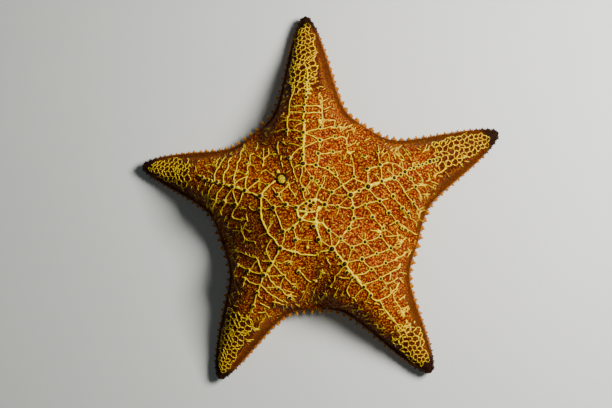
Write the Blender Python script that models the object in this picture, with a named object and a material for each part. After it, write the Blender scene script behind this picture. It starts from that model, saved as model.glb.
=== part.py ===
"""A cushion star at life size, resting on its underside with five unequal arms.

Metres, +Z up.  The origin is the middle of the footprint, at the level of the flats that the
animal rests on, and +Y points along the second arm.  The body is laid out in plan with straight
arms, as polar places round the mouth, and each place is raised and bent last, by body_point().
"""

import math
import random
from collections import namedtuple

import bmesh
import bpy
import numpy as np
from mathutils import Vector, geometry

MM = 0.001
SEED = 11

# Arms run anticlockwise from the one on the right. Angles are at the mouth, and bend is the turn
# that the arm has made by its tip, in degrees. A notch is the body's edge after each arm.
Arm = namedtuple("Arm", "angle bend length notch")
ARMS = (
    Arm(21.8, 1.2, 122.5 * MM, 60.5 * MM),
    Arm(93.0, -0.2, 122.5 * MM, 61.0 * MM),
    Arm(161.7, 3.4, 115.0 * MM, 61.0 * MM),
    Arm(235.5, 4.2, 121.5 * MM, 60.0 * MM),
    Arm(306.2, -0.2, 122.0 * MM, 66.0 * MM),
)
ARM_COUNT = len(ARMS)

# Outline: how fast an arm narrows, as an angle and a power
FLANK_ANGLE = math.radians(10.4)
FLANK_POWER = 1.45

# Heights of the upper side
DISC_HEIGHT = 52.0 * MM
WALL_AT_NOTCH = 15.0 * MM
WALL_AT_TIP = 6.5 * MM
TIP_LIFT = 2.5 * MM
TIP_LIFT_FROM = 0.8
VALLEY_POWER = 2.2
FLANK_ROUNDING = 2.3
SHOULDER = 12.0 * MM

# The crest's fall along an arm: mostly a long slope, and a share that is a blunt round end
CREST_SLOPE_SHARE = 0.9
CREST_SLOPE_POWER = 1.5
CREST_END_POWER = 6

# Where the valley between arms turns into an arm's rounded flank, in lengths of the notch
FLANK_FROM = 0.6
FLANK_FULL = 1.25

# Net of ridges on the upper side
RIDGE_HEIGHT = 1.1 * MM
RIDGE_WIDTH = 1.3 * MM
CELL_SHARE = 0.28
SIDE_SHARE = 0.7
CELL_SINK = 0.4 * MM
NET_STEP = 7.0 * MM
NET_JITTER = 0.5 * MM
EDGE_FADE = 7.0 * MM
SLOPE_STEP = 0.2 * MM
CENTRE_RING = 5.0 * MM
INNER_RING = 11.5 * MM
PAIR_RING = 18.3 * MM
PAIR_ANGLE = math.radians(14.5)
LOOP_RING = 26.6 * MM
LOOP_BETWEEN = 4
FIRST_RIB = 37.6 * MM
MEETING_SHARE = 0.8
RIB_LEAN = 5.0 * MM
RIB_BOW = 2.4 * MM
RIB_CELL = 11.0 * MM
RIB_POINT_GAP = 2.4 * MM
LINK_SHARES = (0.75, 0.35)
LOOP_LINK_SHARE = 0.8
LOOP_LINK_END = 0.5

# Tubercles where ridges meet: a wider one where each arm's crest leaves the loop
TUBERCLE_RADIUS = 1.1 * MM
TUBERCLE_HEIGHT = 1.7 * MM
LARGE_TUBERCLE = 1.4

# Margin: plates along each side of an arm, in two rows, with a spine on each
EDGE_SAMPLES = 600
PLATES = 12
PLATE_TAPER = 0.18
SEAM_SHARE = 0.48
SEAM_BULGE = 0.8 * MM
BASE_INSET = 1.0 * MM
BASE_HEIGHT = 1.2 * MM
PLATE_BORDER = 0.2
PLATE_RAISE = 0.7 * MM
SPINE_BORDER = 0.3
SPINE_LENGTH = 0.85

# Underside: grooves with feet, blocks that the body rests on, and the mouth
GROOVE_START = 15.0 * MM
GROOVE_END_GAP = 7.0 * MM
GROOVE_STEPS = 10
GROOVE_HALF_WIDTH = (3.8 * MM, 1.0 * MM)
GROOVE_DEPTH = (5.5 * MM, 2.2 * MM)
BLOCK_WIDTH = (2.8 * MM, 1.1 * MM)
BLOCK_BORDER = 0.22
FOOT_BORDER = 0.3
FOOT_FLARE = 1.15
FOOT_END = 0.6 * MM
MOUTH_RADIUS = 9.6 * MM
MOUTH_EDGE_ANGLE = math.radians(23.0)
MOUTH_ROOF = 7.0 * MM
MOUTH_EDGE_DROP = 1.0 * MM

# Pieces of their own
MEMBRANE_RADIUS = 9.0 * MM
MEMBRANE_HEIGHT = 1.5 * MM
MEMBRANE_CORNERS = 32
JAW_SIZE = (5.2 * MM, 5.6 * MM, 3.8 * MM)
JAW_INNER_END = 0.4
JAW_TOOTH = 1.6 * MM
JAW_TOOTH_BORDER = 0.3
JAW_TOOTH_TAPER = 0.6
MADREPORITE_ANGLE = math.radians(127.4)
MADREPORITE_RADIUS = 24.0 * MM
MADREPORITE_SIZE = (5.0 * MM, 6.5 * MM)
MADREPORITE_RISE = 1.3 * MM
MADREPORITE_SET = 2.0 * MM
MADREPORITE_CORNERS = 20
MADREPORITE_DOME = ((0.35, 0.85), (0.5, 1.0))

# Where the body is parted, and the gap that is left there
ARM_CUT = 55.0 * MM
TIP_LENGTH = 9.0 * MM
PART_GAP = 0.3 * MM
CUTTER_REACH = 100.0 * MM
CUTTER_HALF_WIDTH = 46.0 * MM
WELD = 0.00001

COLOURS = {
    "disc": (0.55, 0.24, 0.05),
    "arm": (0.42, 0.17, 0.04),
    "arm_tip": (0.05, 0.015, 0.012),
    "madreporite": (0.62, 0.45, 0.16),
    "mouth_membrane": (0.5, 0.33, 0.16),
    "jaw": (0.66, 0.42, 0.16),
}
ROUGHNESS = 0.55


def turn(angle):
    """The angle brought between -pi and pi."""
    return (angle + math.pi) % (2 * math.pi) - math.pi


ARM_ANGLES = [math.radians(arm.angle) for arm in ARMS]
GAP_ANGLES = [
    ARM_ANGLES[k] + 0.5 * (turn(ARM_ANGLES[(k + 1) % ARM_COUNT] - ARM_ANGLES[k]) % (2 * math.pi))
    for k in range(ARM_COUNT)
]

Side = namedtuple("Side", "arm sign half_gap notch length")


def arm_side(arm, sign):
    """One side of an arm: +1 is anticlockwise of its axis."""
    gap = arm if sign > 0 else arm - 1
    half_gap = abs(turn(GAP_ANGLES[gap] - ARM_ANGLES[arm]))
    return Side(arm, sign, half_gap, ARMS[gap].notch, ARMS[arm].length)


SIDES = {(k, sign): arm_side(k, sign) for k in range(ARM_COUNT) for sign in (-1, 1)}


def side_at(theta):
    """The side that a direction lies on, and its angle from that arm's axis."""
    for side in SIDES.values():
        offset = turn(theta - ARM_ANGLES[side.arm]) * side.sign
        if -1e-9 <= offset <= side.half_gap + 1e-9:
            return side, abs(offset)
    raise ValueError("direction lies on no arm")


def outline_radius(side, phi):
    """How far the body reaches at an angle from the arm's axis."""
    rest = math.exp(-((side.half_gap / FLANK_ANGLE) ** FLANK_POWER))
    share = (math.exp(-((phi / FLANK_ANGLE) ** FLANK_POWER)) - rest) / (1 - rest)
    return side.notch + (side.length - side.notch) * share


def flank_angle(side, rho):
    """The angle at which the outline is rho from the mouth, or the whole half gap inside it."""
    if rho <= side.notch:
        return side.half_gap
    rest = math.exp(-((side.half_gap / FLANK_ANGLE) ** FLANK_POWER))
    share = min((rho - side.notch) / (side.length - side.notch), 1.0)
    power = -math.log(share * (1 - rest) + rest)
    return FLANK_ANGLE * max(power, 0.0) ** (1 / FLANK_POWER)


def smooth(low, high, value):
    """Rises from 0 at low to 1 at high, level at both ends."""
    t = min(max((value - low) / (high - low), 0.0), 1.0)
    return t * t * (3 - 2 * t)


def along_arm(side, rho):
    """The share of the way from the notch to the tip."""
    return min(max((rho - side.notch) / (side.length - side.notch), 0.0), 1.0)


def wall_height(side, rho):
    """Height of the wall's upper edge above the level of the arm's underside."""
    return WALL_AT_NOTCH + (WALL_AT_TIP - WALL_AT_NOTCH) * along_arm(side, rho) ** 0.8


def tip_lift(side, rho):
    """How far the arm's end is curled up off the ground."""
    return TIP_LIFT * smooth(TIP_LIFT_FROM, 1.0, rho / side.length)


def crest_height(side, rho):
    """Height of the arm's crest: a straight fall, with a blunt round end."""
    x = min(rho / side.length, 1.0)
    slope = (1 - x**2) ** CREST_SLOPE_POWER
    end = (1 - x**CREST_END_POWER) ** 0.5
    shape = CREST_SLOPE_SHARE * slope + (1 - CREST_SLOPE_SHARE) * end
    return WALL_AT_TIP + (DISC_HEIGHT - WALL_AT_TIP) * shape


def edge_height(side, rho):
    """Height beside the crest: the floor of the valley between arms, then the wall's edge."""
    if rho < side.notch:
        fall = (rho / side.notch) ** VALLEY_POWER
        return DISC_HEIGHT + (WALL_AT_NOTCH - DISC_HEIGHT) * fall
    return wall_height(side, rho)


def skin_height(rho, theta):
    """Height of the smooth upper side at a place in plan."""
    side, phi = side_at(theta)
    tau = min(phi / max(flank_angle(side, rho), 1e-6), 1.0)
    valley = math.cos(0.5 * math.pi * tau) ** 2
    flank = 1 - tau**FLANK_ROUNDING
    mix = smooth(FLANK_FROM * side.notch, FLANK_FULL * side.notch, rho)
    low = edge_height(side, rho)
    rise = (crest_height(side, rho) - low) * (valley + (flank - valley) * mix)
    wall = wall_height(side, rho)
    inward = min(max(outline_radius(side, phi) - rho, 0.0) / SHOULDER, 1.0)
    shoulder = 1 - (1 - inward) ** 2
    return wall + (low + max(rise, 0.0) - wall) * shoulder + tip_lift(side, rho)


def bent(rho, theta):
    """The direction that a place has once its arm is bent."""
    side, phi = side_at(theta)
    window = math.cos(0.5 * math.pi * phi / side.half_gap) ** 2
    bend = math.radians(ARMS[side.arm].bend)
    return theta + bend * window * (rho / side.length) ** 2


def polar(x, y):
    return math.hypot(x, y), math.atan2(y, x)


def flat(rho, theta):
    return Vector((rho * math.cos(theta), rho * math.sin(theta)))


def body_point(x, y, z):
    """A place of the straight plan, moved to where the bent body has it."""
    rho, theta = polar(x, y)
    return Vector((*flat(rho, bent(rho, theta)), z))


# Plan of the margin
def margin_half(side):
    """Plate corners from the notch to just short of the tip, along the edge, in plan."""
    angles = np.linspace(side.half_gap, 0.0, EDGE_SAMPLES)
    line = np.array([flat(outline_radius(side, a), side.sign * a) for a in angles])
    steps = np.hypot(*np.diff(line, axis=0).T)
    length = np.concatenate([[0.0], np.cumsum(steps)])
    share = np.arange(PLATES) / PLATES
    share = share * (1 + PLATE_TAPER * (1 - share))
    chosen = np.interp(share * length[-1], length, angles)
    start = ARM_ANGLES[side.arm]
    return [flat(outline_radius(side, a), start + side.sign * a) for a in chosen]


def margin_plan():
    """The whole edge, anticlockwise, and for each side of an arm the places of its corners."""
    points = []
    corners = {}
    for k in range(ARM_COUNT):
        first = len(points)
        points += margin_half(SIDES[k, -1])
        points.append(flat(ARMS[k].length, ARM_ANGLES[k]))
        tip = len(points) - 1
        points += margin_half(SIDES[k, 1])[:0:-1]
        corners[k, -1] = list(range(first, tip + 1))
        corners[k, 1] = list(range(len(points), tip - 1, -1))
    for k in range(ARM_COUNT):
        corners[k, 1][0] %= len(points)
    return points, corners


MARGIN, CORNERS = margin_plan()


def margin_offset(index, out):
    """A corner of the edge moved outward in plan."""
    before = MARGIN[index - 1]
    after = MARGIN[(index + 1) % len(MARGIN)]
    along = (after - before).normalized()
    return MARGIN[index] + Vector((along.y, -along.x)) * out


class Net:
    """Lines of the upper side's ridges in plan, and the knots where they meet."""

    def __init__(self):
        self.points = list(MARGIN)
        self.lines = []
        self.knots = {}
        self.dice = random.Random(SEED)

    def add(self, point, knot=0.0, shift=0.0):
        """A point, moved a little at random, with a tubercle of that size if it has one."""
        move = Vector((self.dice.uniform(-shift, shift), self.dice.uniform(-shift, shift)))
        self.points.append(Vector(point) + move)
        if knot:
            self.knots[len(self.points) - 1] = knot
        return len(self.points) - 1

    def join(self, a, b):
        """A ridge from one point to another, in steps short enough to follow the skin."""
        start, end = self.points[a], self.points[b]
        count = max(1, round((end - start).length / NET_STEP))
        row = [a]
        for step in range(1, count):
            row.append(self.add(start.lerp(end, step / count)))
        row.append(b)
        self.lines += list(zip(row, row[1:]))

    def path(self, row):
        for a, b in zip(row, row[1:]):
            self.join(a, b)


def between(k, count):
    """Directions from one arm's axis to the next one's, the ends included."""
    gap = turn(ARM_ANGLES[(k + 1) % ARM_COUNT] - ARM_ANGLES[k]) % (2 * math.pi)
    return [ARM_ANGLES[k] + gap * i / (count + 1) for i in range(count + 2)]


def lay_disc(net):
    """Rings of the disc: round the middle, a knot on each arm's line, a pair, and the loop."""
    ring = [net.add(flat(CENTRE_RING, a)) for k in range(ARM_COUNT) for a in between(k, 1)[:2]]
    net.path(ring + ring[:1])
    inner = [net.add(flat(INNER_RING, a), 1.0) for a in ARM_ANGLES]
    pairs = []
    for angle in ARM_ANGLES:
        places = [flat(PAIR_RING, angle + s * PAIR_ANGLE) for s in (-1, 1)]
        pairs.append([net.add(place, 1.0, NET_JITTER) for place in places])
    loop = []
    for k in range(ARM_COUNT):
        angles = between(k, LOOP_BETWEEN)[:-1]
        row = [net.add(flat(LOOP_RING, angles[0]), LARGE_TUBERCLE)]
        row += [net.add(flat(LOOP_RING, a), 1.0, NET_JITTER) for a in angles[1:]]
        loop.append(row)
    for k in range(ARM_COUNT):
        low, high = pairs[k]
        net.join(ring[2 * k], inner[k])
        net.join(inner[k], low)
        net.join(inner[k], high)
        net.join(low, loop[k - 1][-1])
        net.join(high, loop[k][1])
        net.join(low, loop[k][0])
        net.join(high, loop[k][0])
        net.join(high, pairs[(k + 1) % ARM_COUNT][0])
        net.path(loop[k] + [loop[(k + 1) % ARM_COUNT][0]])
    return loop


def axial(point, k):
    """How far out along an arm's axis a place is."""
    return point.dot(flat(1.0, ARM_ANGLES[k]))


# Rib 0 ends between two arms; the others end on these corners of the margin
RIB_CORNERS = [1] + list(range(3, PLATES))


def lay_crest(net, k, loop_point):
    """The crest of an arm: its points, where the ribs of both sides start."""
    places = [FIRST_RIB]
    for i, corner in enumerate(RIB_CORNERS):
        ends = [axial(MARGIN[CORNERS[k, s][corner]], k) for s in (-1, 1)]
        lean = RIB_LEAN * (1 - i / len(RIB_CORNERS))
        places.append(sum(ends) / 2 - lean)
    knots = [1.0 if i % 2 else 0.0 for i in range(len(places))]
    row = [net.add(flat(s, ARM_ANGLES[k]), knot) for s, knot in zip(places, knots)]
    net.path([loop_point] + row + [CORNERS[k, 1][-1]])
    return row


class Rib:
    """A bowed ridge from the crest to the margin, with points where links meet it."""

    def __init__(self, net, side, start, end):
        self.net = net
        self.start = net.points[start]
        self.end = net.points[end]
        self.bow = flat(RIB_BOW, ARM_ANGLES[side.arm])
        self.length = (self.end - self.start).length
        self.places = {0.0: start, 1.0: end}

    def at(self, share, knot=0.0):
        """The point nearest that share of the way, made if none is near enough."""
        near = min(self.places, key=lambda f: abs(f - share))
        if abs(near - share) * self.length < RIB_POINT_GAP:
            return self.places[near]
        bulge = 4 * share * (1 - share) * min(1.0, self.length / (3 * RIB_CELL))
        point = self.start.lerp(self.end, share) + self.bow * bulge
        self.places[share] = self.net.add(point, knot, NET_JITTER)
        return self.places[share]

    def finish(self):
        self.net.path([self.places[f] for f in sorted(self.places)])


def lay_side(net, side, crest, loop_points, meeting):
    """One side of an arm: its ribs, and the short links between them, set like brickwork."""
    ends = [meeting] + [CORNERS[side.arm, side.sign][c] for c in RIB_CORNERS]
    ribs = [Rib(net, side, start, end) for start, end in zip(crest, ends)]
    for i, point in enumerate(loop_points):
        share = (i + LOOP_LINK_SHARE) / (len(loop_points) + LOOP_LINK_END)
        net.join(point, ribs[0].at(share, 1.0))
    net.join(loop_points[-1], meeting)
    for i, (rib, following) in enumerate(zip(ribs, ribs[1:])):
        width = (rib.length + following.length) / 2
        count = max(1, round(width / RIB_CELL))
        for j in range(count):
            share = (j + LINK_SHARES[i % 2]) / count
            net.join(rib.at(share, 1.0 if width > RIB_CELL else 0.0), following.at(share))
    for rib in ribs:
        rib.finish()


def lay_net():
    """The whole net of the upper side."""
    net = Net()
    loop = lay_disc(net)
    crests = [lay_crest(net, k, loop[k][0]) for k in range(ARM_COUNT)]
    half = LOOP_BETWEEN // 2
    for k in range(ARM_COUNT):
        after = (k + 1) % ARM_COUNT
        notch = CORNERS[after, -1][0]
        meeting = net.add(flat(MEETING_SHARE * ARMS[k].notch, GAP_ANGLES[k]), 1.0)
        net.join(meeting, notch)
        lay_side(net, SIDES[k, 1], crests[k], loop[k][1 : half + 1], meeting)
        lay_side(net, SIDES[after, -1], crests[after], loop[k][:half:-1], meeting)
    return net


# Sheets of cells
def cell_sheet(points, lines, edge):
    """A flat sheet inside a closed edge, one face for each cell that the lines enclose."""
    result = geometry.delaunay_2d_cdt(points, lines, [edge], 4, 1e-7)
    places, _, faces, sources = result[:4]
    bm = bmesh.new()
    verts = [bm.verts.new((*place, 0.0)) for place in places]
    for face in faces:
        bm.faces.new([verts[i] for i in face])
    found = {source: verts[i] for i, row in enumerate(sources) for source in row}
    return bm, found


def cell_size(face):
    """Twice the area over the perimeter: the radius of a round cell."""
    return 2 * face.calc_area() / face.calc_perimeter()


def inner_face(bm, face, border):
    """Insets a face by itself and returns it, now smaller, inside its ring."""
    bmesh.ops.inset_individual(bm, faces=[face], thickness=border, use_even_offset=True)
    return face


def widest_border(face):
    """The border that can be let in all round a cell before one of its sides runs out."""
    widest = RIDGE_WIDTH
    for loop in face.loops:
        corners = (loop.calc_angle(), loop.link_loop_next.calc_angle())
        drawn = sum(1 / math.tan(angle / 2) for angle in corners)
        if drawn > 0:
            widest = min(widest, SIDE_SHARE * loop.edge.calc_length() / drawn)
    return min(widest, CELL_SHARE * cell_size(face))


def raise_ridges(bm):
    """Each cell is let in by itself, so that the lines between cells stand up as ridges."""
    for vert in bm.verts:
        vert.co.z = 0.0 if vert.is_boundary else RIDGE_HEIGHT
    for face in list(bm.faces):
        inner = inner_face(bm, face, widest_border(face))
        for vert in inner.verts:
            vert.co.z = -CELL_SINK


def raise_tubercles(bm, knots):
    """A pointed dome on each knot."""
    for vert, size in knots:
        ring = bmesh.ops.bevel(
            bm,
            geom=[vert],
            offset=TUBERCLE_RADIUS * size,
            segments=1,
            affect="VERTICES",
            clamp_overlap=True,
        )["faces"]
        top = bmesh.ops.poke(bm, faces=ring)["verts"]
        for point in top:
            point.co.z = RIDGE_HEIGHT + TUBERCLE_HEIGHT * size


def edge_distance(side, rho, phi):
    """Roughly how far inside the outline a place is."""
    ahead = outline_radius(side, phi) - rho
    beside = rho * (flank_angle(side, rho) - phi) if rho > side.notch else ahead
    return min(ahead, beside)


def raised_point(place):
    """A place of the flat sheet, its z taken out along the skin's normal, on the bent body."""
    step = SLOPE_STEP
    x, y, out = place
    rho, theta = polar(x, y)
    side, phi = side_at(theta)
    height = skin_height(rho, theta)
    slope_x = (skin_height(*polar(x + step, y)) - skin_height(*polar(x - step, y))) / (2 * step)
    slope_y = (skin_height(*polar(x, y + step)) - skin_height(*polar(x, y - step))) / (2 * step)
    inside = smooth(0.0, EDGE_FADE, edge_distance(side, rho, phi))
    normal = Vector((-slope_x * inside, -slope_y * inside, 1.0)).normalized()
    return body_point(x + normal.x * out, y + normal.y * out, height + normal.z * out)


def top_sheet():
    """The upper side, in its place, and its edge vertices in order."""
    net = lay_net()
    bm, found = cell_sheet(net.points, net.lines, list(range(len(MARGIN))))
    edge = [found[i] for i in range(len(MARGIN))]
    raise_ridges(bm)
    raise_tubercles(bm, [(found[i], size) for i, size in net.knots.items()])
    bmesh.ops.triangulate(bm, faces=bm.faces)
    for vert in bm.verts:
        vert.co = raised_point(vert.co)
    return bm, edge


def wall_place(index, share, out):
    """A place of the wall below a corner: share 1 is its upper edge and 0 its foot."""
    place = margin_offset(index, out)
    rho, theta = polar(*MARGIN[index])
    side, _ = side_at(theta)
    height = BASE_HEIGHT + (wall_height(side, rho) - BASE_HEIGHT) * share
    return body_point(*place, height + tip_lift(side, place.length))


def add_wall(bm, edge):
    """Two rows of plates, drawn down from the edge of the upper side, the upper one first."""
    rows = ((SEAM_SHARE, SEAM_BULGE), (0.0, -BASE_INSET))
    plates = []
    for share, out in rows:
        lines = [bm.edges.get((edge[i - 1], edge[i])) for i in range(len(edge))]
        drawn = bmesh.ops.extrude_edge_only(bm, edges=lines)["geom"]
        fresh = {item for item in drawn if isinstance(item, bmesh.types.BMVert)}
        plates.append([item for item in drawn if isinstance(item, bmesh.types.BMFace)])
        below = []
        for vert in edge:
            below += [e.other_vert(vert) for e in vert.link_edges if e.other_vert(vert) in fresh]
        for index, vert in enumerate(below):
            vert.co = wall_place(index, share, out)
        edge = below
    return plates


def dress_plates(bm, plates, slender):
    """Each plate of a row is raised, with a blunt spine on its middle, broad or slender."""
    for face in plates:
        face.normal_update()
        out = face.normal.copy()
        if out.dot(face.calc_center_median()) < 0:
            out.negate()
        size = cell_size(face)
        inner_face(bm, face, PLATE_BORDER * size)
        for vert in face.verts:
            vert.co += out * PLATE_RAISE
        if slender:
            inner_face(bm, face, SPINE_BORDER * size)
        point = bmesh.ops.poke(bm, faces=[face])["verts"][0]
        point.co += out * SPINE_LENGTH * size


# Underside
def blend(pair, share):
    return pair[0] + (pair[1] - pair[0]) * share


class Floor:
    """Places and lines of the underside in plan, each place with its height."""

    def __init__(self):
        self.points = [margin_offset(i, -BASE_INSET) for i in range(len(MARGIN))]
        self.heights = [BASE_HEIGHT] * len(MARGIN)
        self.lines = []

    def add(self, angle, along, across, height):
        """A place by its distances along and across an arm's axis."""
        ahead = flat(1.0, angle)
        self.points.append(ahead * along + Vector((-ahead.y, ahead.x)) * across)
        self.heights.append(height)
        return len(self.points) - 1

    def path(self, row):
        self.lines += list(zip(row, row[1:]))


def lay_groove(floor, k):
    """A groove with its middle, its two edges, and the outer side of the blocks beside it."""
    angle = ARM_ANGLES[k]
    end = ARMS[k].length - GROOVE_END_GAP
    rows = {key: [] for key in (-2, -1, 0, 1, 2)}
    for step in range(GROOVE_STEPS):
        share = step / (GROOVE_STEPS - 1)
        along = GROOVE_START + (end - GROOVE_START) * share
        half = blend(GROOVE_HALF_WIDTH, share)
        block = half + blend(BLOCK_WIDTH, share)
        depth = BASE_HEIGHT + blend(GROOVE_DEPTH, share)
        for key in rows:
            across = (0.0, half, block)[abs(key)] * (1 if key > 0 else -1)
            rows[key].append(floor.add(angle, along, across, BASE_HEIGHT if key else depth))
    for row in rows.values():
        floor.path(row)
    for step in range(GROOVE_STEPS):
        floor.path([rows[key][step] for key in sorted(rows)])
    return rows


def lay_mouth(floor, grooves):
    """The mouth's edge, a ring that the grooves run into."""
    ring = []
    for k in range(ARM_COUNT):
        for key in (-1, 0, 1):
            angle = key * MOUTH_EDGE_ANGLE
            along, across = MOUTH_RADIUS * math.cos(angle), MOUTH_RADIUS * math.sin(angle)
            height = BASE_HEIGHT if key else BASE_HEIGHT + GROOVE_DEPTH[0] - MOUTH_EDGE_DROP
            ring.append(floor.add(ARM_ANGLES[k], along, across, height))
            floor.path([ring[-1], grooves[k][key][0]])
        ring.append(floor.add(GAP_ANGLES[k], MOUTH_RADIUS, 0.0, BASE_HEIGHT))
    floor.path(ring + ring[:1])
    return ring


def faces_of(bm, found, corners):
    """The faces whose corners are all among those places."""
    chosen = {found[i] for i in corners}
    return [face for face in bm.faces if chosen.issuperset(face.verts)]


def add_blocks(bm, found, grooves):
    """Blocks along the grooves, each with a flat at the level that the body rests on."""
    for rows in grooves:
        for key in (-1, 1):
            for face in faces_of(bm, found, rows[key] + rows[2 * key]):
                inner_face(bm, face, BLOCK_BORDER * cell_size(face))
                for vert in face.verts:
                    vert.co.z = 0.0


def shorten(face, ahead):
    """Draws a long face in along the arm, until it is as long as it is wide."""
    middle = face.calc_center_median()
    sideways = Vector((-ahead.y, ahead.x, 0.0))
    width = max(abs((vert.co - middle).dot(sideways)) for vert in face.verts)
    for vert in face.verts:
        along = (vert.co - middle).dot(ahead)
        vert.co -= ahead * (along - math.copysign(min(width, abs(along)), along))


def add_feet(bm, found, grooves):
    """A foot on each side of the groove at each step, a short stalk that widens to its end."""
    for k, rows in enumerate(grooves):
        ahead = flat(1.0, ARM_ANGLES[k]).to_3d()
        for key in (-1, 1):
            for face in faces_of(bm, found, rows[key] + rows[0]):
                inner_face(bm, face, FOOT_BORDER * cell_size(face))
                shorten(face, ahead)
                middle = face.calc_center_median()
                drawn = bmesh.ops.extrude_discrete_faces(bm, faces=[face])["faces"][0]
                for vert in drawn.verts:
                    vert.co = middle + (vert.co - middle) * FOOT_FLARE
                    vert.co.z = FOOT_END


def under_sheet():
    """The underside, in its place."""
    floor = Floor()
    grooves = [lay_groove(floor, k) for k in range(ARM_COUNT)]
    ring = lay_mouth(floor, grooves)
    bm, found = cell_sheet(floor.points, floor.lines, list(range(len(MARGIN))))
    for index, vert in found.items():
        vert.co.z = floor.heights[index]
    roof = bmesh.ops.extrude_face_region(bm, geom=faces_of(bm, found, ring))["geom"]
    for item in roof:
        if isinstance(item, bmesh.types.BMVert):
            item.co.z = MOUTH_ROOF
    bmesh.ops.delete(bm, geom=faces_of(bm, found, ring), context="FACES")
    add_blocks(bm, found, grooves)
    add_feet(bm, found, grooves)
    for vert in bm.verts:
        side, _ = side_at(math.atan2(vert.co.y, vert.co.x))
        lift = tip_lift(side, vert.co.to_2d().length)
        vert.co = body_point(vert.co.x, vert.co.y, vert.co.z + lift)
    return bm


def body_mesh():
    """The whole body as one closed surface."""
    bm, edge = top_sheet()
    upper, lower = add_wall(bm, edge)
    dress_plates(bm, upper, slender=True)
    dress_plates(bm, lower, slender=False)
    under = under_sheet()
    mesh = bpy.data.meshes.new("under")
    under.to_mesh(mesh)
    under.free()
    bm.from_mesh(mesh)
    bpy.data.meshes.remove(mesh)
    bmesh.ops.remove_doubles(bm, verts=bm.verts, dist=WELD)
    bmesh.ops.triangulate(bm, faces=bm.faces)
    bmesh.ops.recalc_face_normals(bm, faces=bm.faces)
    mesh = bpy.data.meshes.new("body")
    bm.to_mesh(mesh)
    bm.free()
    return mesh


# Scene
def clear_scene():
    for item in list(bpy.data.objects):
        bpy.data.objects.remove(item, do_unlink=True)
    for kind in (bpy.data.meshes, bpy.data.materials, bpy.data.collections):
        for item in list(kind):
            kind.remove(item)


def new_collection(name):
    collection = bpy.data.collections.new(name)
    bpy.context.scene.collection.children.link(collection)
    return collection


def new_object(name, mesh, collection):
    item = bpy.data.objects.new(name, mesh)
    collection.objects.link(item)
    return item


def coloured(item, colour):
    """Gives an object its own material."""
    material = bpy.data.materials.new(item.name + "_surface")
    material.use_nodes = True
    shader = material.node_tree.nodes["Principled BSDF"]
    shader.inputs["Base Color"].default_value = (*colour, 1.0)
    shader.inputs["Roughness"].default_value = ROUGHNESS
    item.data.materials.clear()
    item.data.materials.append(material)
    return item


def cutter(name, bm, collection):
    """An object that only cuts."""
    mesh = bpy.data.meshes.new(name)
    bm.to_mesh(mesh)
    bm.free()
    item = new_object(name, mesh, collection)
    item.hide_render = True
    item.display_type = "WIRE"
    return item


def arm_frame(k, rho):
    """Where the bent axis of an arm is at a distance from the mouth, and its direction there."""
    here = body_point(*flat(rho, ARM_ANGLES[k]), 0.0)
    ahead = body_point(*flat(rho + MM, ARM_ANGLES[k]), 0.0)
    return here, math.atan2(ahead.y - here.y, ahead.x - here.x)


def arm_box(name, k, rho, collection):
    """A box that holds all of an arm beyond a square cut across its axis."""
    here, angle = arm_frame(k, rho)
    bm = bmesh.new()
    bmesh.ops.create_cube(bm, size=1.0)
    for vert in bm.verts:
        along = (vert.co.x + 0.5) * CUTTER_REACH
        across = vert.co.y * 2 * CUTTER_HALF_WIDTH
        vert.co = (
            here.x + along * math.cos(angle) - across * math.sin(angle),
            here.y + along * math.sin(angle) + across * math.cos(angle),
            vert.co.z * 2 * CUTTER_REACH,
        )
    return cutter(name, bm, collection)


def largest_body(bm):
    """Removes every loose scrap but the largest closed surface."""
    bm.verts.ensure_lookup_table()
    seen = set()
    groups = []
    for start in bm.verts:
        if start in seen:
            continue
        group = {start}
        todo = [start]
        while todo:
            for edge in todo.pop().link_edges:
                for vert in edge.verts:
                    if vert not in group:
                        group.add(vert)
                        todo.append(vert)
        seen |= group
        groups.append(group)
    keep = max(groups, key=len)
    scraps = [vert for vert in bm.verts if vert not in keep]
    bmesh.ops.delete(bm, geom=scraps, context="VERTS")


def cut_body(name, body, cuts, collection):
    """A part of the body: cuts are pairs of a Boolean operation and its cutter."""
    item = new_object(name, body.copy(), collection)
    for operation, tool in cuts:
        change = item.modifiers.new(operation.lower(), "BOOLEAN")
        change.operation = operation
        change.object = tool
        change.solver = "EXACT"
    graph = bpy.context.evaluated_depsgraph_get()
    mesh = bpy.data.meshes.new_from_object(item.evaluated_get(graph))
    item.modifiers.clear()
    bm = bmesh.new()
    bm.from_mesh(mesh)
    largest_body(bm)
    bm.to_mesh(mesh)
    bm.free()
    item.data = mesh
    mesh.name = name
    return item


# Pieces of their own
def button(bm, grow, low, high):
    """An oval prism on its own axis, between two levels along it."""
    width, length = MADREPORITE_SIZE
    bmesh.ops.create_cone(
        bm,
        cap_ends=True,
        segments=MADREPORITE_CORNERS,
        radius1=1.0,
        radius2=1.0,
        depth=1.0,
    )
    for vert in bm.verts:
        share = vert.co.z + 0.5
        vert.co.x *= width / 2 + grow
        vert.co.y *= length / 2 + grow
        vert.co.z = low + (high - low) * share


def button_place():
    """Where the madreporite sits, its axis along the skin's normal."""
    theta = MADREPORITE_ANGLE
    here = raised_point((*flat(MADREPORITE_RADIUS, theta), 0.0))
    above = raised_point((*flat(MADREPORITE_RADIUS, theta), MM))
    turned = (above - here).to_track_quat("Z", "Y").to_matrix().to_4x4()
    turned.translation = here
    return turned


def pocket(collection):
    """The hollow that the madreporite is set in."""
    bm = bmesh.new()
    button(bm, PART_GAP, -MADREPORITE_SET - PART_GAP, 3 * MADREPORITE_SET)
    bm.transform(button_place())
    return cutter("madreporite_pocket", bm, collection)


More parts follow.
